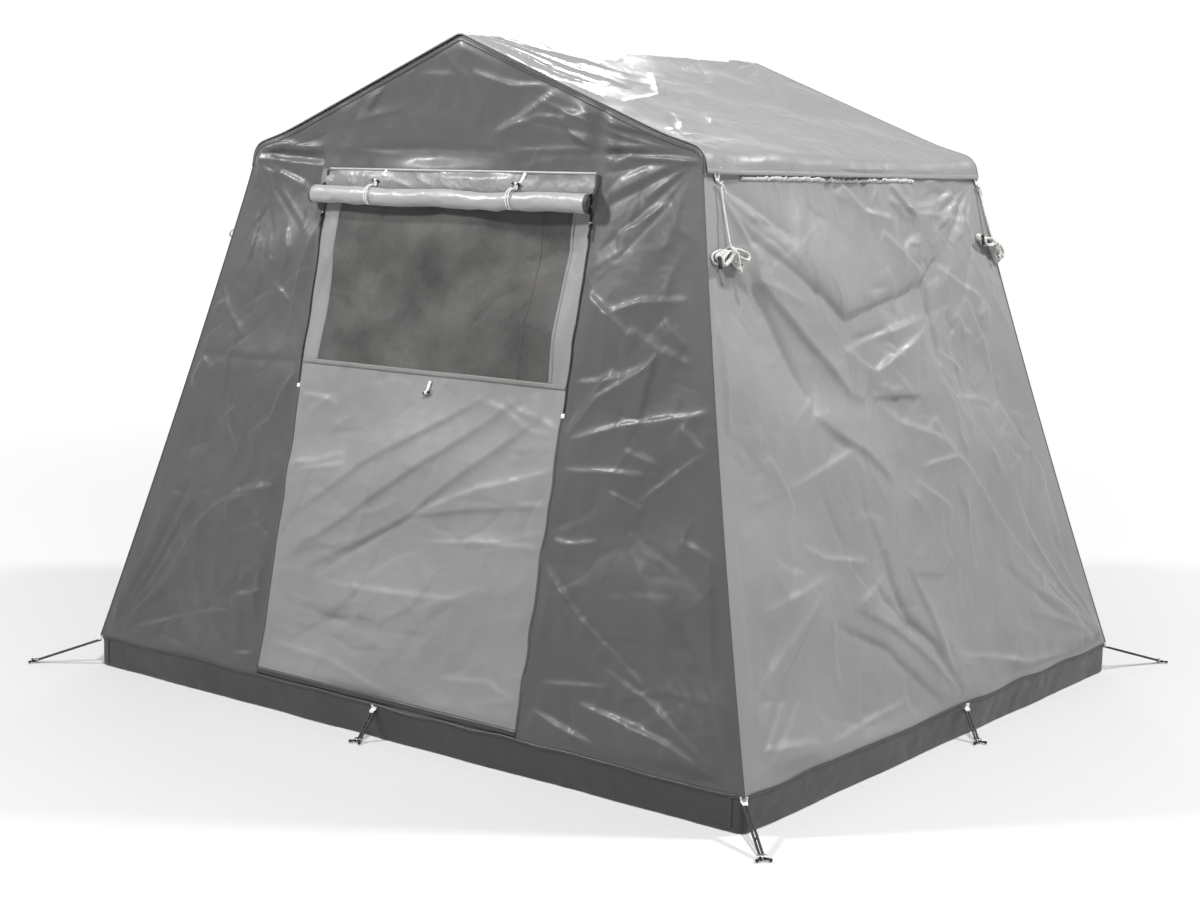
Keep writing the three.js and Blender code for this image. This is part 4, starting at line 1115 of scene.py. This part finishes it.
def steps_between(*stops, step=CLOTH_STEP):
    """Numbers from the first stop to the last that include every stop."""
    found = [np.array([stops[0]])]
    for start, end in zip(stops, stops[1:]):
        found.append(np.linspace(start, end, max(1, int(round(abs(end - start) / step))) + 1)[1:])
    return np.concatenate(found)


def add_sheet(name, surface, a, b, look, keep=None, body="tent", way=1):
    """A sheet of cloth over a grid of places on a surface, or over some of the grid's faces."""
    a, b = np.broadcast_arrays(a, b)
    faces = grid_faces(*a.shape, keep=keep)[:, ::way]
    used, index = np.unique(faces, return_inverse=True)
    points = surface.at(a, b).reshape(-1, 3)[used]
    return add_piece(name, points, index.reshape(faces.shape), look, uv_grid(a, b)[used], body, tidy=False)


def add_gable_sheets(wall, which):
    """A gable wall with the hole for its panel, and the pieces that fill the hole."""
    panel_x, window = PANEL_HIGH.x, WINDOW_HIGH.x / PANEL_HIGH.x
    outer = np.linspace(-1, 0, 96)
    middle = steps_between(-1, -window, window, 1, step=CLOTH_STEP / panel_x)
    columns = np.concatenate([outer[:-1] - 1, middle, 1 + (outer[1:] + 1)])
    rows = steps_between(BAND.z - 0.006, PANEL_LOW.z, WINDOW_LOW.z, WINDOW_HIGH.z, PANEL_HIGH.z, EAVE.z,
                         ROOF_HIGH.z - 0.004)[:, None]
    edge = gable_edge(rows)
    inner = np.minimum(panel_x, 0.59 * edge)
    a = np.where(np.abs(columns) <= 1, columns * inner,
                 np.sign(columns) * (inner + (np.abs(columns) - 1) * (edge - inner)))
    mid_b = (rows[1:] + rows[:-1]) / 2
    mid_c = np.abs(columns[1:] + columns[:-1]) / 2
    in_panel = (mid_b > PANEL_LOW.z) & (mid_b < PANEL_HIGH.z) & (mid_c < 1)
    in_window = (mid_b > WINDOW_LOW.z) & (mid_b < WINDOW_HIGH.z) & (mid_c < window)

    def part(name, keep, look, slot, node, body="tent", **facts):
        piece = add_sheet(name, wall, a, rows, look, keep, body)
        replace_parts(piece, node)
        return piece

    legs = ["upper_leg_" + which + "_right", "upper_leg_" + which + "_left", "ridge_joint_" + which]
    dark = part(which + "_gable_cloth", ~in_panel, "dark", "dark_cloth", which + "_wall",
                flat=(2 * BAND.x, 1.93), area=3.75 - 1.51, held="stretched", rests_on=legs)
    if which == "front":
        panel = part("window_panel_cloth", in_panel & ~in_window, "light", "light_cloth", "window_panel",
                     flat=(1.02, 1.48), area=1.07, held="stretched", rests_on=[dark])
        part("window_net", in_window, "net", "window_mesh", "window_mesh",
             flat=(0.88, 0.50), held="stretched", rests_on=[panel])
    else:
        part("door_cloth", in_panel, "light", "light_cloth", "door_panel", "door",
             flat=(1.02, 1.48), held="hung", rests_on=[dark])


def add_side_sheet(wall, which):
    rows = steps_between(BAND.z - 0.006, SIDE_WALL_TOP)[:, None]
    a = steps_between(-1.0, 1.0, step=CLOTH_STEP / 0.95) * reach("y", rows)
    piece = add_sheet(which + "_wall_cloth", wall, a, rows, "light")
    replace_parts(piece, which + "_wall")


def add_roof():
    rows = steps_between(-ROOF_HALF, -EAVE_AT, 0.0, EAVE_AT, ROOF_HALF)[:, None]
    half = ROOF_HIGH.y
    piece = add_sheet("roof_cloth", roof, steps_between(-half, half), rows, "roof", way=-1)
    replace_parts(piece, "roof")

    def row(side, back, inset):
        return [(end * (half - inset), side * (ROOF_HALF - back)) for end in (-1, 1)]

    for side, name in SIDES[::-1]:
        put("flap_hem_" + name, "roof", "light_cloth",
            strip(roof, row(side, 0.0065, 0.002), 0.013, 0.0018, -0.0006, crown=0.0006))
        put("flap_stitches_" + name, "thread", "light_cloth",
            *[stitches(roof, row(side, back, 0.01), 0.0014) for back in (0.004, 0.010)])


def roofline(inset):
    """Places (x, z) on a gable wall that run along under the roof's edge, so far in from it."""
    b = np.linspace(-ROOF_HALF, ROOF_HALF, 260)
    a = np.full_like(b, -ROOF_HIGH.y)
    points, normals = roof_base(a, b)
    return (points + normals * (roof.height(a, b) - inset)[:, None])[:, [0, 2]]


def add_gable_trims(wall, which):
    """The binding under the roof's edge with its stitches, the edge's light piping, and the corner seams."""
    turn = 1 if which == "front" else -1
    width = 0.016
    put(which + "_gable_binding", "binding", "dark_cloth",
        strip(wall, roofline(0.003 + width / 2), width, 0.0009, 0.0006, across=5, crown=0.0006,
              taper=(0.3, *([1.0] * 14), 0.3)))
    b = np.linspace(-ROOF_HALF, ROOF_HALF, 300)
    edge = roof.at(np.full_like(b, -ROOF_HIGH.y * turn), b, 0.0004) - (0, 0.0008 * turn, 0)
    put(which + "_gable_piping", "light", "light_cloth", sweep(even(edge, TRIM_STEP), circle(0.0021, 10)))
    put(which + "_gable_stitches", "dark_thread", "dark_cloth", stitches(wall, roofline(0.011), 0.0028))
    z = np.arange(BAND.z, FLAP_Z, TRIM_STEP)
    for side, name in SIDES if turn < 0 else SIDES[::-1]:
        corner = np.stack([reach("x", z) * side, -reach("y", z) * turn, z], -1)
        put(f"corner_seam_{which}_{name}", "dark", "dark_cloth", sweep(corner, circle(0.0022, 8)))


def add_gathered_strip(wall, side):
    """The elastic strip under the eave flap, drawn into small gathers, in a lighter copy of the light cloth: a painted
    highlight.
    """
    a = np.arange(-0.58, 0.35, 0.0016)
    fine = waves(a, a * 0, 71, 0.011) + 0.6 * waves(a, a * 0, 72, 0.024)
    rows = []
    for drop, lift in [(0.0, 0.0030), (0.0020, 0.0052), (0.0052, 0.0062), (0.0084, 0.0048), (0.0104, 0.0010)]:
        rows.append(wall.at(a, 1.6020 - drop + 0.0010 * fine, np.maximum(lift * (1 + 0.16 * fine), 0.0006)))
    rows += [wall.at(a, z, -0.0004) for z in (1.5912, 1.6020)]
    uv = uv_grid(a[:, None], np.linspace(0, 0.03, len(rows)))
    # The strip takes the lighter copy of the light cloth: a painted highlight.
    put("gathered_strip_" + side, "ruffle_painted_highlight", "light_cloth", (np.stack(rows, 1), tube_faces(len(a), len(rows)), uv))


# ---------------------------------------------------------------- groundsheet

def add_groundsheet():
    """The floor and its upstand as one sheet: rings from the band's top edge down, round the hem and inward."""
    a = np.linspace(0, BAND_LENGTH, int(BAND_LENGTH / 0.009), endpoint=False)
    top = BAND.z - 0.0015 + 0.0022 * waves(*round_the_band(a), 64, 0.30)
    bend = 0.007
    rings = [groundsheet.at(a, bend + (top - bend) * share) for share in np.linspace(1, 0, 12)]
    for k in range(1, 5):
        angle = TURN / 4 * k / 4
        ring = groundsheet.at(a, bend, -bend * (1 - math.cos(angle)))
        ring[:, 2] = 0.0006 + bend * (1 - math.sin(angle))
        rings.append(ring)
    rim = rings[-1]
    for share in np.linspace(1, 0, 48)[1:]:
        ring = rim * (share, share, 1)
        wrinkle = ridged(*ring.T[:2], 65, 0.30) * 0.0010 + waves(*ring.T[:2], 66, 0.6) * 0.0008
        ring[:, 2] = 0.0006 + np.clip(wrinkle + 0.0012, 0, 0.004) * smooth((1 - share) / 0.06)
        rings.append(ring)
    uv = uv_grid(a, np.arange(len(rings))[:, None] * 0.009)
    faces = grid_faces(len(rings), len(a), wrap=True)[:, ::-1]
    piece = add_piece("groundsheet_cloth", rings, faces, "band", uv, tidy=False)
    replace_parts(piece, "groundsheet")
    edge = np.stack([a, top - 0.0035], -1)
    put("band_hem", "band", "band_cloth",
        strip(groundsheet, [*edge, edge[0] + (BAND_LENGTH, 0)], 0.009, 0.0012, 0.0003, crown=0.0008))
    put("band_stitches", "dark_thread", "band_cloth", stitches(groundsheet, edge - (0, 0.003), 0.0016))


def add_band_seams():
    """The upright seams that join the band's strips, a little way from each corner."""
    places = np.mod(BAND_ALONG[[4, 13, 22, 31]] + (-0.035, 0.035, -0.035, 0.035), BAND_LENGTH)
    put("band_seams", "band", "band_cloth",
        *[strip(groundsheet, [(a, 0.012), (a, BAND.z - 0.006)], 0.008, 0.0012, 0.0004, crown=0.0008) for a in places])


# ---------------------------------------------------------------- window

def small_block(wall, x, z, lift, size, radius):
    """A small block flat on a wall: its width, thickness and height."""
    axes = wall.axes(x, z)
    return block(wall.at(x, z, lift), axes[[0, 2, 1]], size, radius)


def panel_line(side, z):
    """A place on the upright seam beside the panel, which wavers a little."""
    return side * (SLIDER_X - 0.003 + 0.0022 * waves(z, z * 0, 81 + side, 0.16))


def add_panel_trims(wall):
    """Zip tapes beside the window, their end stops, the stitched colour seams and the strip under the panel."""
    for side, name in SIDES:
        def line(top, bottom, shift=0.0):
            z = np.arange(top, bottom, -TRIM_STEP)
            return np.stack([panel_line(side, z) + shift, z], -1)

        put("window_zip_tape_" + name, "dark_tape", "black_plastic",
            strip(wall, line(TAPE_TOP, TAPE_BOTTOM), 0.0075, 0.0009, 0.0008))
        places = np.arange(TAPE_TOP, TAPE_BOTTOM + 0.004, -0.0035)
        put("window_zip_teeth_" + name, "plastic", "black_plastic",
            *[small_block(wall, x, z, 0.0025, (0.0042, 0.0020, 0.0022), 0.0004)
              for x, z in zip(panel_line(side, places), places)])
        x = float(panel_line(side, np.array([TAPE_BOTTOM]))[0])
        put("window_zip_stop_" + name, "white_plastic", "webbing",
            small_block(wall, x, TAPE_BOTTOM - 0.006, 0.0018, (0.011, 0.0030, 0.012), 0.0012))
        seam = line(TAPE_BOTTOM - 0.012, PANEL_LOW.z - 0.004, -0.004 * side)
        put("panel_seam_" + name, "dark", "dark_cloth", strip(wall, seam, 0.007, 0.0008, 0.0003, crown=0.0006))
        put("panel_stitches_" + name, "thread", "light_cloth", stitches(wall, seam + (0.0035 * side, 0), 0.0014))

    def level(z, half):
        return [(-half, z), (half, z)]

    left, right, bottom, top = WINDOW_LOW.x, WINDOW_HIGH.x, WINDOW_LOW.z, WINDOW_HIGH.z
    panel = PANEL_HIGH.x
    put("panel_foot_strip", "band", "band_cloth",
        strip(wall, level(PANEL_LOW.z - 0.010, panel), 0.018, 0.0012, 0.0004, across=4, crown=0.001))
    put("window_side_hems", "light", "light_cloth",
        *[strip(wall, [(x, top), (x, bottom)], 0.010, 0.0008, 0.0003, crown=0.0007)
          for x in (left - 0.005, right + 0.005)])
    put("window_sill_seam", "trim", "light_cloth",
        strip(wall, level(bottom - 0.006, panel - 0.004), 0.014, 0.0010, 0.0005, across=4, crown=0.0011))
    put("window_stitches", "thread", "light_cloth",
        *[stitches(wall, [(x, top), (x, bottom)], 0.0014)
          for x in (left - 0.0075, left - 0.0025, right + 0.0025, right + 0.0075)],
        stitches(wall, level(bottom - 0.010, panel - 0.01), 0.0018))
    x = 0.335
    put("net_seam", "net", "window_mesh",
        strip(wall, [(x, top - 0.004), (x, bottom + 0.002)], 0.0028, 0.0004, 0.0003, crown=0.0002))


COVER_TOP = 1.600
ROLL_HEIGHT = 1.522
ROLL_RADIUS = 0.028
ROLL_CORE = 0.008
ROLL_TURNS = 4.6
ROLL_FLATTENED = 0.80
COVER_LIFT = 0.0045
FLAT_ROWS = 17
STRAPS = ((-0.300, -0.270), (0.243, 0.262))


def cover_profile():
    """The cover seen edge-on as (lift, height) places: the flat part, then the roll wound inwards from the wall."""
    top = ROLL_HEIGHT + ROLL_RADIUS
    flat = []
    for z in np.linspace(COVER_TOP, ROLL_HEIGHT, 22):
        share = (COVER_TOP - z) / (COVER_TOP - top) if z > top else (z - ROLL_HEIGHT) / ROLL_RADIUS
        flat.append((COVER_LIFT + 0.004 * smooth(share), z))
    turns = np.linspace(0, ROLL_TURNS, int(ROLL_TURNS * 34))
    radius = ROLL_RADIUS + (ROLL_CORE - ROLL_RADIUS) * turns / ROLL_TURNS
    angle = math.pi + TURN * turns
    lift = COVER_LIFT + (ROLL_RADIUS + radius * np.cos(angle)) * ROLL_FLATTENED
    height = ROLL_HEIGHT + radius * np.sin(angle)
    return np.concatenate([flat, np.stack([lift, height], -1)[1:]]), len(flat), turns[1:]


def cover_points(wall, x, extra=0.0):
    """The rolled cover's grid of points over x, with the dents of its straps and small crinkles."""
    profile, flat_count, turns = cover_profile()
    grid = []
    squeeze = sum(np.exp(-(((x - strap[0]) / 0.030) ** 2)) for strap in STRAPS)
    sway = 0.0026 * waves(x, x * 0, 91, 0.45) - 0.0035 * (1 - squeeze)
    behind = np.maximum(wall.height(x, np.full_like(x, ROLL_HEIGHT)), wall.height(x, np.full_like(x, COVER_TOP - 0.03)))
    for k, (lift, height) in enumerate(profile):
        level_line = np.full_like(x, height)
        if k >= flat_count:
            angle = np.full_like(x, 0.07 * TURN * turns[k - flat_count])
            bulge = 1 + 0.035 * waves(x, angle, 92, 0.22, (1.0, 1.4)) + 0.035 * ridged(x, angle, 93, 0.11, (1.8, 1.0))
            bulge = bulge + 0.012 * ridged(x, angle, 95, 0.035, (1.0, 1.6)) - 0.10 * squeeze
            middle = COVER_LIFT + ROLL_RADIUS * ROLL_FLATTENED
            out = (lift - middle) * bulge + middle + extra
            rise = (height - ROLL_HEIGHT) * (bulge - 1) + sway
        else:
            ripple = ridged(x, level_line, 94, 0.09, (1.6, 1.0)) + 0.3 * ridged(x, level_line, 96, 0.03)
            out = lift + 0.0009 * np.clip(0.8 + ripple, 0, 2) + extra
            rise = sway * (k / (flat_count - 1))
        share = smooth((COVER_TOP - height) / 0.02)
        carried = wall.height(x, np.full_like(x, COVER_TOP)) * (1 - share) + behind * share
        base, normal = wall.base(x, level_line)
        grid.append(base + normal * (out + carried)[:, None] + UP * rise[:, None])
    return np.stack(grid), profile


def add_window_cover(wall):
    """The cover as one rolled sheet with its zip tapes, top hem and stitches."""
    x = np.arange(COVER_LOW.x + 0.012, COVER_HIGH.x, 0.0035)
    grid, profile = cover_points(wall, x)
    along = run_length(profile)
    piece = add_piece("cover_cloth", grid, grid_faces(*grid.shape[:2]), "silver", uv_grid(x, along[:, None]),
                      tidy=False)
    # The flat part above the roll takes the darker copy of the silver cloth: painted shade.
    piece.data.materials.append(LOOKS["silver_painted_shade"])
    shaded_flat_part = np.arange(len(piece.data.polygons)) < FLAT_ROWS * (grid.shape[1] - 1)
    piece.data.polygons.foreach_set("material_index", shaded_flat_part.astype(np.int32))
    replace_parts(piece, "window_cover")
    first = 10
    for start, name in ((COVER_HIGH.x - 0.004, "right"), (COVER_LOW.x - 0.002, "left")):
        span = np.linspace(start, start + 0.014, 5)
        tape, inner = (cover_points(wall, span, extra)[0][first:] for extra in (0.0006, -0.0004))
        ring = np.concatenate([tape, inner[:, ::-1]], axis=1)
        put("cover_zip_tape_" + name, "dark_tape", "black_plastic",
            (ring, grid_faces(*ring.shape[:2], wrap=True), uv_grid(np.zeros(ring.shape[1]), along[first:, None])))
    z = COVER_TOP
    put("cover_top_hem", "silver", "silver_cloth",
        strip(wall, [(-PANEL_HIGH.x, z), (COVER_HIGH.x - 0.002, z)], 0.007, 0.0010, 0.0056))
    z -= 0.001
    put("cover_stitches", "dark_thread", "silver_cloth",
        stitches(wall, [(-PANEL_HIGH.x, z), (COVER_HIGH.x - 0.006, z)], 0.0066))


def toggle(centre, along, length, radius):
    """A toggle: a rod with thicker round ends and a waist."""
    half = length / 2
    profile = [(-half, 0.3), (-half * 0.96, 0.75), (-half * 0.85, 1.0), (-half * 0.45, 0.98), (-half * 0.22, 0.74)]
    profile += [(-t, r) for t, r in profile[::-1]]
    return lathe(centre, along, [(t, r * radius) for t, r in profile])


def collar(centre, along, half, inner, outer):
    """The ring of tape round a toggle's waist."""
    return lathe(centre, along, [(-half, inner), (0.0005 - half, outer), (half - 0.0005, outer), (half, inner)])


def turned(axes, degrees):
    tilt = math.radians(degrees)
    return axes[0] * math.cos(tilt) + axes[1] * math.sin(tilt)


def add_straps(wall):
    """The two straps that hold the roll: a tape to the toggle, then a doubled cord round the roll."""
    low = 1.566
    for number, (low_x, high_x) in enumerate(STRAPS):
        name = str(number + 1)
        line = [(high_x, COVER_TOP - 0.002), ((low_x + high_x) / 2 + 0.004, 1.583), (low_x + 0.004, low)]
        put("cover_strap_" + name, "white_tape", "webbing",
            strip(wall, curve_through(line, 0.004), 0.011, 0.0014, 0.0062, crown=0.0008, step=0.004))
        centre = wall.at(low_x - 0.004, low, 0.0125)
        along = turned(wall.axes(low_x, low), -8)
        put("cover_toggle_" + name, "plastic", "black_plastic", toggle(centre, along, 0.030, 0.0040))
        put("cover_toggle_loop_" + name, "white_plastic", "webbing", collar(centre, along, 0.0035, 0.0030, 0.0046))
        cords = []
        for shift in (-0.0042, 0.0042):
            route = [wall.at(low_x + shift * 0.5, low, 0.0125)]
            for angle in math.pi * np.linspace(0.62, -0.42, 12):
                radius = ROLL_RADIUS * 0.97 + 0.0022
                lift = COVER_LIFT + ROLL_RADIUS * ROLL_FLATTENED + radius * math.cos(angle) * ROLL_FLATTENED
                route.append(wall.at(low_x + shift, ROLL_HEIGHT - 0.0005 + radius * math.sin(angle), lift))
            route.append(wall.at(low_x + shift * 0.6, ROLL_HEIGHT - ROLL_RADIUS * 0.9, 0.004))
            cords.append(sweep(curve_through(route, 0.002), circle(0.0021, 8), turns_per_metre=40.0))
        put("cover_cords_" + name, "white_tape", "webbing", *cords)


def add_window_tab(wall):
    """The tab below the window: a folded tape from the seam and a toggle across its end."""
    x, top = 0.012, 1.008
    drop = 0.034 * (EAVE.z - BAND.z) / math.hypot(EAVE.z - BAND.z, BAND.y - EAVE.y)
    line = curve_through([(x + 0.004, top), (x + 0.001, top - drop * 0.5), (x, top - drop)], 0.003)
    tab = put("tab_tape", "white_tape", "webbing",
              strip(wall, line, 0.011, 0.0018, 0.0030, crown=0.001, step=0.003), body="window_tab")
    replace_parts(tab, "window_tab")
    centre = wall.at(x, top - drop, 0.0070)
    along = turned(wall.axes(x, top), 14)
    put("tab_toggle", "plastic", "black_plastic", toggle(centre, along, 0.026, 0.0040), body="window_tab")
    put("tab_toggle_loop", "white_tape", "webbing", collar(centre, along, 0.004, 0.003, 0.005), body="window_tab")


# ---------------------------------------------------------------- zips

def add_slider(wall, node, x, z, travel):
    """A zip slider with its bridge and a drop-shaped pull, that clears the cloth all along its travel."""
    axes = wall.axes(x, z)
    way_x, way_z = np.meshgrid(x + np.array([-0.006, 0.0, 0.006]), np.linspace(z - 0.010, z + travel, 120))
    raised = max(0.0, float(np.max(wall.height(way_x, way_z)) - wall.height(x, z)))

    def spot(dx, dz, lift):
        return wall.at(x + dx, z + dz, lift + raised)

    plate = axes[[0, 2, 1]]
    bridge = [spot(0, t, 0.0062 + h) for t, h in ((-0.006, 0), (-0.003, 0.0026), (0.002, 0.0028), (0.006, 0))]
    shell = put("slider_" + node, "zip_metal", "zip_metal",
                block(spot(0, 0, 0.0012), plate, (0.0095, 0.0014, 0.0150), 0.0006),
                block(spot(0, 0, 0.0054), plate, (0.0095, 0.0016, 0.0160), 0.0007),
                block(spot(0, 0.0045, 0.0033), plate, (0.0022, 0.0040, 0.0045), 0.0005),
                sweep(curve_through(bridge, 0.0008), circle(0.0010, 8)), body=node)
    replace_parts(shell, node)
    ring = [spot(0.0022 * math.sin(t), -0.0035 + 0.0045 * math.cos(t), 0.0070) for t in np.linspace(0, TURN, 20)]
    profile = [(0.0, 0.0016), (0.002, 0.0026), (0.010, 0.0030), (0.019, 0.0040), (0.025, 0.0042), (0.029, 0.0030),
               (0.031, 0.0008)]
    start = spot(0, -0.007, 0.0062)
    points, faces, uv = lathe(start, -axes[1], profile, 14)
    points = points - axes[2] * (((points - start) @ axes[2]) * 0.55)[..., None]
    put("pull_" + node, "plastic", "black_plastic", sweep(ring, circle(0.0008, 6)), (points, faces, uv), body=node)


def add_cover_tabs(wall):
    """The dark tape ends with a tab at the roll's ends."""
    for side, name in SIDES:
        x = side * (SLIDER_X - 0.001)
        line = curve_through([(x, 1.598), (x + 0.002 * side, 1.575), (x + 0.001 * side, 1.552)], 0.004)
        lump = [(x, 1.556, 0.006), (x + 0.006 * side, 1.545, 0.018), (x + 0.004 * side, 1.528, 0.020)]
        put("cover_zip_end_" + name, "dark_tape", "black_plastic",
            strip(wall, line, 0.013, 0.0014, 0.0050, crown=0.0008, step=0.004),
            sweep(curve_through([wall.at(*place) for place in lump], 0.003), rounded_rectangle(0.012, 0.004, 0.0015)))


def add_door(wall):
    """The entrance: zips up both sides, a top seam, and two ties with toggles."""
    low, high, half = PANEL_LOW.z, PANEL_HIGH.z, PANEL_HIGH.x
    z = np.arange(low + 0.004, high - 0.006, TRIM_STEP)
    for side, name in SIDES:
        def upright(out):
            return np.stack([np.full_like(z, side * (SLIDER_X + out)), z], -1)

        put("door_frame_tape_" + name, "dark_tape", "black_plastic", strip(wall, upright(0.0045), 0.009, 0.0008, 0.0006))
        put("door_edge_tape_" + name, "dark_tape", "black_plastic",
            strip(wall, upright(-0.0070), 0.008, 0.0008, 0.0006), body="door")
        put("door_zip_teeth_" + name, "plastic", "black_plastic",
            *[small_block(wall, side * (SLIDER_X + 0.0012), tooth_z, 0.0022, (0.0026, 0.0018, 0.0022), 0.0004)
              for tooth_z in np.arange(low + 0.02, high - 0.02, 0.0035)])
        put("door_side_seam_" + name, "dark", "dark_cloth",
            strip(wall, upright(0.0150), 0.010, 0.0009, 0.0004, crown=0.0008))
        put("door_stitches_" + name, "dark_thread", "dark_cloth", stitches(wall, upright(0.0180), 0.0016))
        x = side * 0.30
        put("door_tie_" + name, "white_tape", "webbing",
            strip(wall, [(x, high - 0.006), (x + 0.003, high - 0.055)], 0.012, 0.0014, 0.0012, crown=0.0006),
            body="door")
        put("door_tie_toggle_" + name, "plastic", "black_plastic",
            toggle(wall.at(x + 0.003, high - 0.052, 0.0062), wall.axes(x, high - 0.052)[0], 0.030, 0.0040),
            body="door")
    top = [(end * (half + 0.01), high + 0.010) for end in (-1, 1)]
    put("door_top_seam", "dark", "dark_cloth", strip(wall, top, 0.016, 0.0012, 0.0006, across=4, crown=0.001))
    foot = [(end * (half - 0.012), low + 0.012) for end in (-1, 1)]
    put("door_foot_hem", "light", "light_cloth",
        strip(wall, foot, 0.018, 0.0010, 0.0004, across=4, crown=0.0009), body="door")


# ---------------------------------------------------------------- pegs and corner loops

TAB_CORNER_X = BAND.x - BAND_CORNER_RADIUS / 3
TAB_CORNER_Y = BAND.y - BAND_CORNER_RADIUS / 3
PEG_SETS = [
    ("front_right", (TAB_CORNER_X, -TAB_CORNER_Y), (1.376, -1.186)),
    ("front_left", (-TAB_CORNER_X, -TAB_CORNER_Y), (-1.415, -1.200)),
    ("rear_right", (TAB_CORNER_X, TAB_CORNER_Y), (1.345, 1.300)),
    ("rear_left", (-TAB_CORNER_X, TAB_CORNER_Y), (-1.380, 1.240)),
    ("front_middle", (-0.013, -BAND.y), (-0.010, -1.140)),
    ("rear_middle", (0.0, BAND.y), (0.0, 1.140)),
    ("right_middle", (BAND.x, 0.080), (1.316, 0.032)),
    ("left_middle", (-BAND.x, 0.0), (-1.316, 0.0)),
]
LADDER_TOP = 0.084
LADDER_END = 0.008
LADDER_HALF = 0.0047
LADDER_STANDOFF = 0.010


def add_peg_set(name, tab, peg):
    """A tape tab on the band, a rubber ladder down to the ground and a peg with a bright head."""
    start, end = np.array([*tab, LADDER_TOP]), np.array([*peg, LADDER_END])
    run = unit(start - end)
    across = unit(np.cross(run, UP))
    outward = unit((end - start) * (1, 1, 0))
    length = np.linalg.norm(start - end) - LADDER_STANDOFF
    section = rounded_rectangle(0.0064, 0.0052, 0.0018)
    rubber = []
    for side in (-1, 1):
        def off(distance, sideways):
            return end + run * distance + across * sideways * side

        tip = off(0, 0.0170) + outward * 0.0175 - UP * 0.0022
        line = [tip, off(0, 0.0095) + outward * 0.010 - UP * 0.0016, off(0, LADDER_HALF),
                off(length * 0.5, LADDER_HALF), off(length - 0.006, LADDER_HALF), off(length, 0.0040)]
        ball = [(-0.0042, 0.001), (-0.0032, 0.0036), (0, 0.0050), (0.0032, 0.0036), (0.0042, 0.001)]
        rubber += [sweep(curve_through(line, 0.003), section, start_normal=across), lathe(tip, UP, ball, 12)]
    for share in (0.02, 0.34, 0.66, 0.985):
        rung = [end + run * length * share + across * LADDER_HALF * side for side in (-1, 0, 1)]
        rubber.append(sweep(rung, section, start_normal=run))
    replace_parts(put("ladder_" + name, "rubber", "black_rubber", *rubber), "peg_set_" + name)
    foot = np.array([*peg, 0.0])
    head = [(0.0102, 0.004), (0.0104, 0.0112), (0.0112, 0.0120), (0.0126, 0.0116), (0.0136, 0.0080), (0.0140, 0.0030)]
    put("peg_" + name, "bright_steel", "steel_pole", lathe(foot, UP, head, 28),
        lathe(foot, UP, [(0.0002, 0.0034), (0.004, 0.0040), (0.0110, 0.0040)], 14))
    top = start + UP * (BAND.z - LADDER_TOP - 0.002)
    line = curve_through([top + outward * 0.0012, top + outward * 0.0030 - UP * 0.012,
                          start + outward * 0.0085 - run * 0.004, start + outward * 0.0065 - run * 0.012], 0.003)
    put("peg_tab_" + name, "white_tape", "webbing",
        sweep(line, rounded_rectangle(0.0017, 0.022, 0.0007), scale=np.linspace(1.0, 0.62, len(line)),
              start_normal=outward))


def add_corner_loop(wall, rope):
    """The folded tape at an eave corner that the guy rope is knotted to."""
    y = rope["y"] * rope["side"]
    tapes = []
    for shift, lift in ((-0.010, 0.0034), (0.011, 0.0052)):
        line = curve_through([(y + shift, 1.622), (y + shift * 0.75, 1.604), (y + shift * 0.1, 1.586)], 0.003)
        tapes.append(strip(wall, line, 0.015, 0.0016, lift, crown=0.0008, step=0.003, taper=(1.1, 0.62)))
    put("eave_loop_" + rope["name"], "white_tape", "webbing", *tapes)


# ---------------------------------------------------------------- the frame's own nodes

def dress_frame():
    """Poles, joints, feet and screws stay as they are and take their materials here."""
    kinds = {"steel": ("ridge_pole", "eave_pole", "rafter", "upper_leg", "lower_leg"),
             "plastic": ("ridge_joint", "eave_joint", "foot", "thumb_screw")}
    for look, prefixes in kinds.items():
        for name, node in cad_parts.items():
            if name.startswith(prefixes):
                node.data.materials.clear()
                node.data.materials.append(LOOKS[look])


add_camera()
add_studio()
for number, guy in enumerate(GUY_ROPES):
    add_guy_rope(guy, number)

roof = Surface(roof_base, (-ROOF_HIGH.y, -ROOF_HALF), (ROOF_HIGH.y, ROOF_HALF), roof_relief)
ROOF_EDGE = roof_edge()
GABLE_BOX = ((-BAND.x, 0.08), (BAND.x, ROOF_HIGH.z))
SIDE_BOX = ((-BAND.y, 0.08), (BAND.y, SIDE_WALL_TOP))
front = Surface(wall_base("y", 1), *GABLE_BOX, gable_relief(FRONT_FOLDS, 100))
rear = Surface(wall_base("y", -1), *GABLE_BOX, gable_relief(mirrored(FRONT_FOLDS, 0.06, 119), 120))
right = Surface(wall_base("x", 1), *SIDE_BOX, side_relief(SIDE_FOLDS, 140))
left = Surface(wall_base("x", -1), *SIDE_BOX, side_relief(mirrored(SIDE_FOLDS, 0.06, 159), 160))
groundsheet = Surface(band_base, (0, 0), (BAND_LENGTH, BAND.z + 0.01), band_relief)

add_roof()
for wall, which in ((front, "front"), (rear, "rear")):
    add_gable_sheets(wall, which)
    add_gable_trims(wall, which)
for wall, which in ((right, "right"), (left, "left")):
    add_side_sheet(wall, which)
    add_gathered_strip(wall, which)
add_groundsheet()
add_band_seams()
add_panel_trims(front)
add_window_cover(front)
add_straps(front)
add_window_tab(front)
add_cover_tabs(front)
add_door(rear)
for side, name in SIDES:
    add_slider(front, "cover_slider_" + name, side * SLIDER_X, 1.462, -0.50)
    add_slider(rear, "door_slider_" + name, -side * SLIDER_X, 0.165, 1.39)
for peg_set in PEG_SETS:
    add_peg_set(*peg_set)
for guy in GUY_ROPES:
    add_corner_loop(right if guy["side"] > 0 else left, guy)
dress_frame()
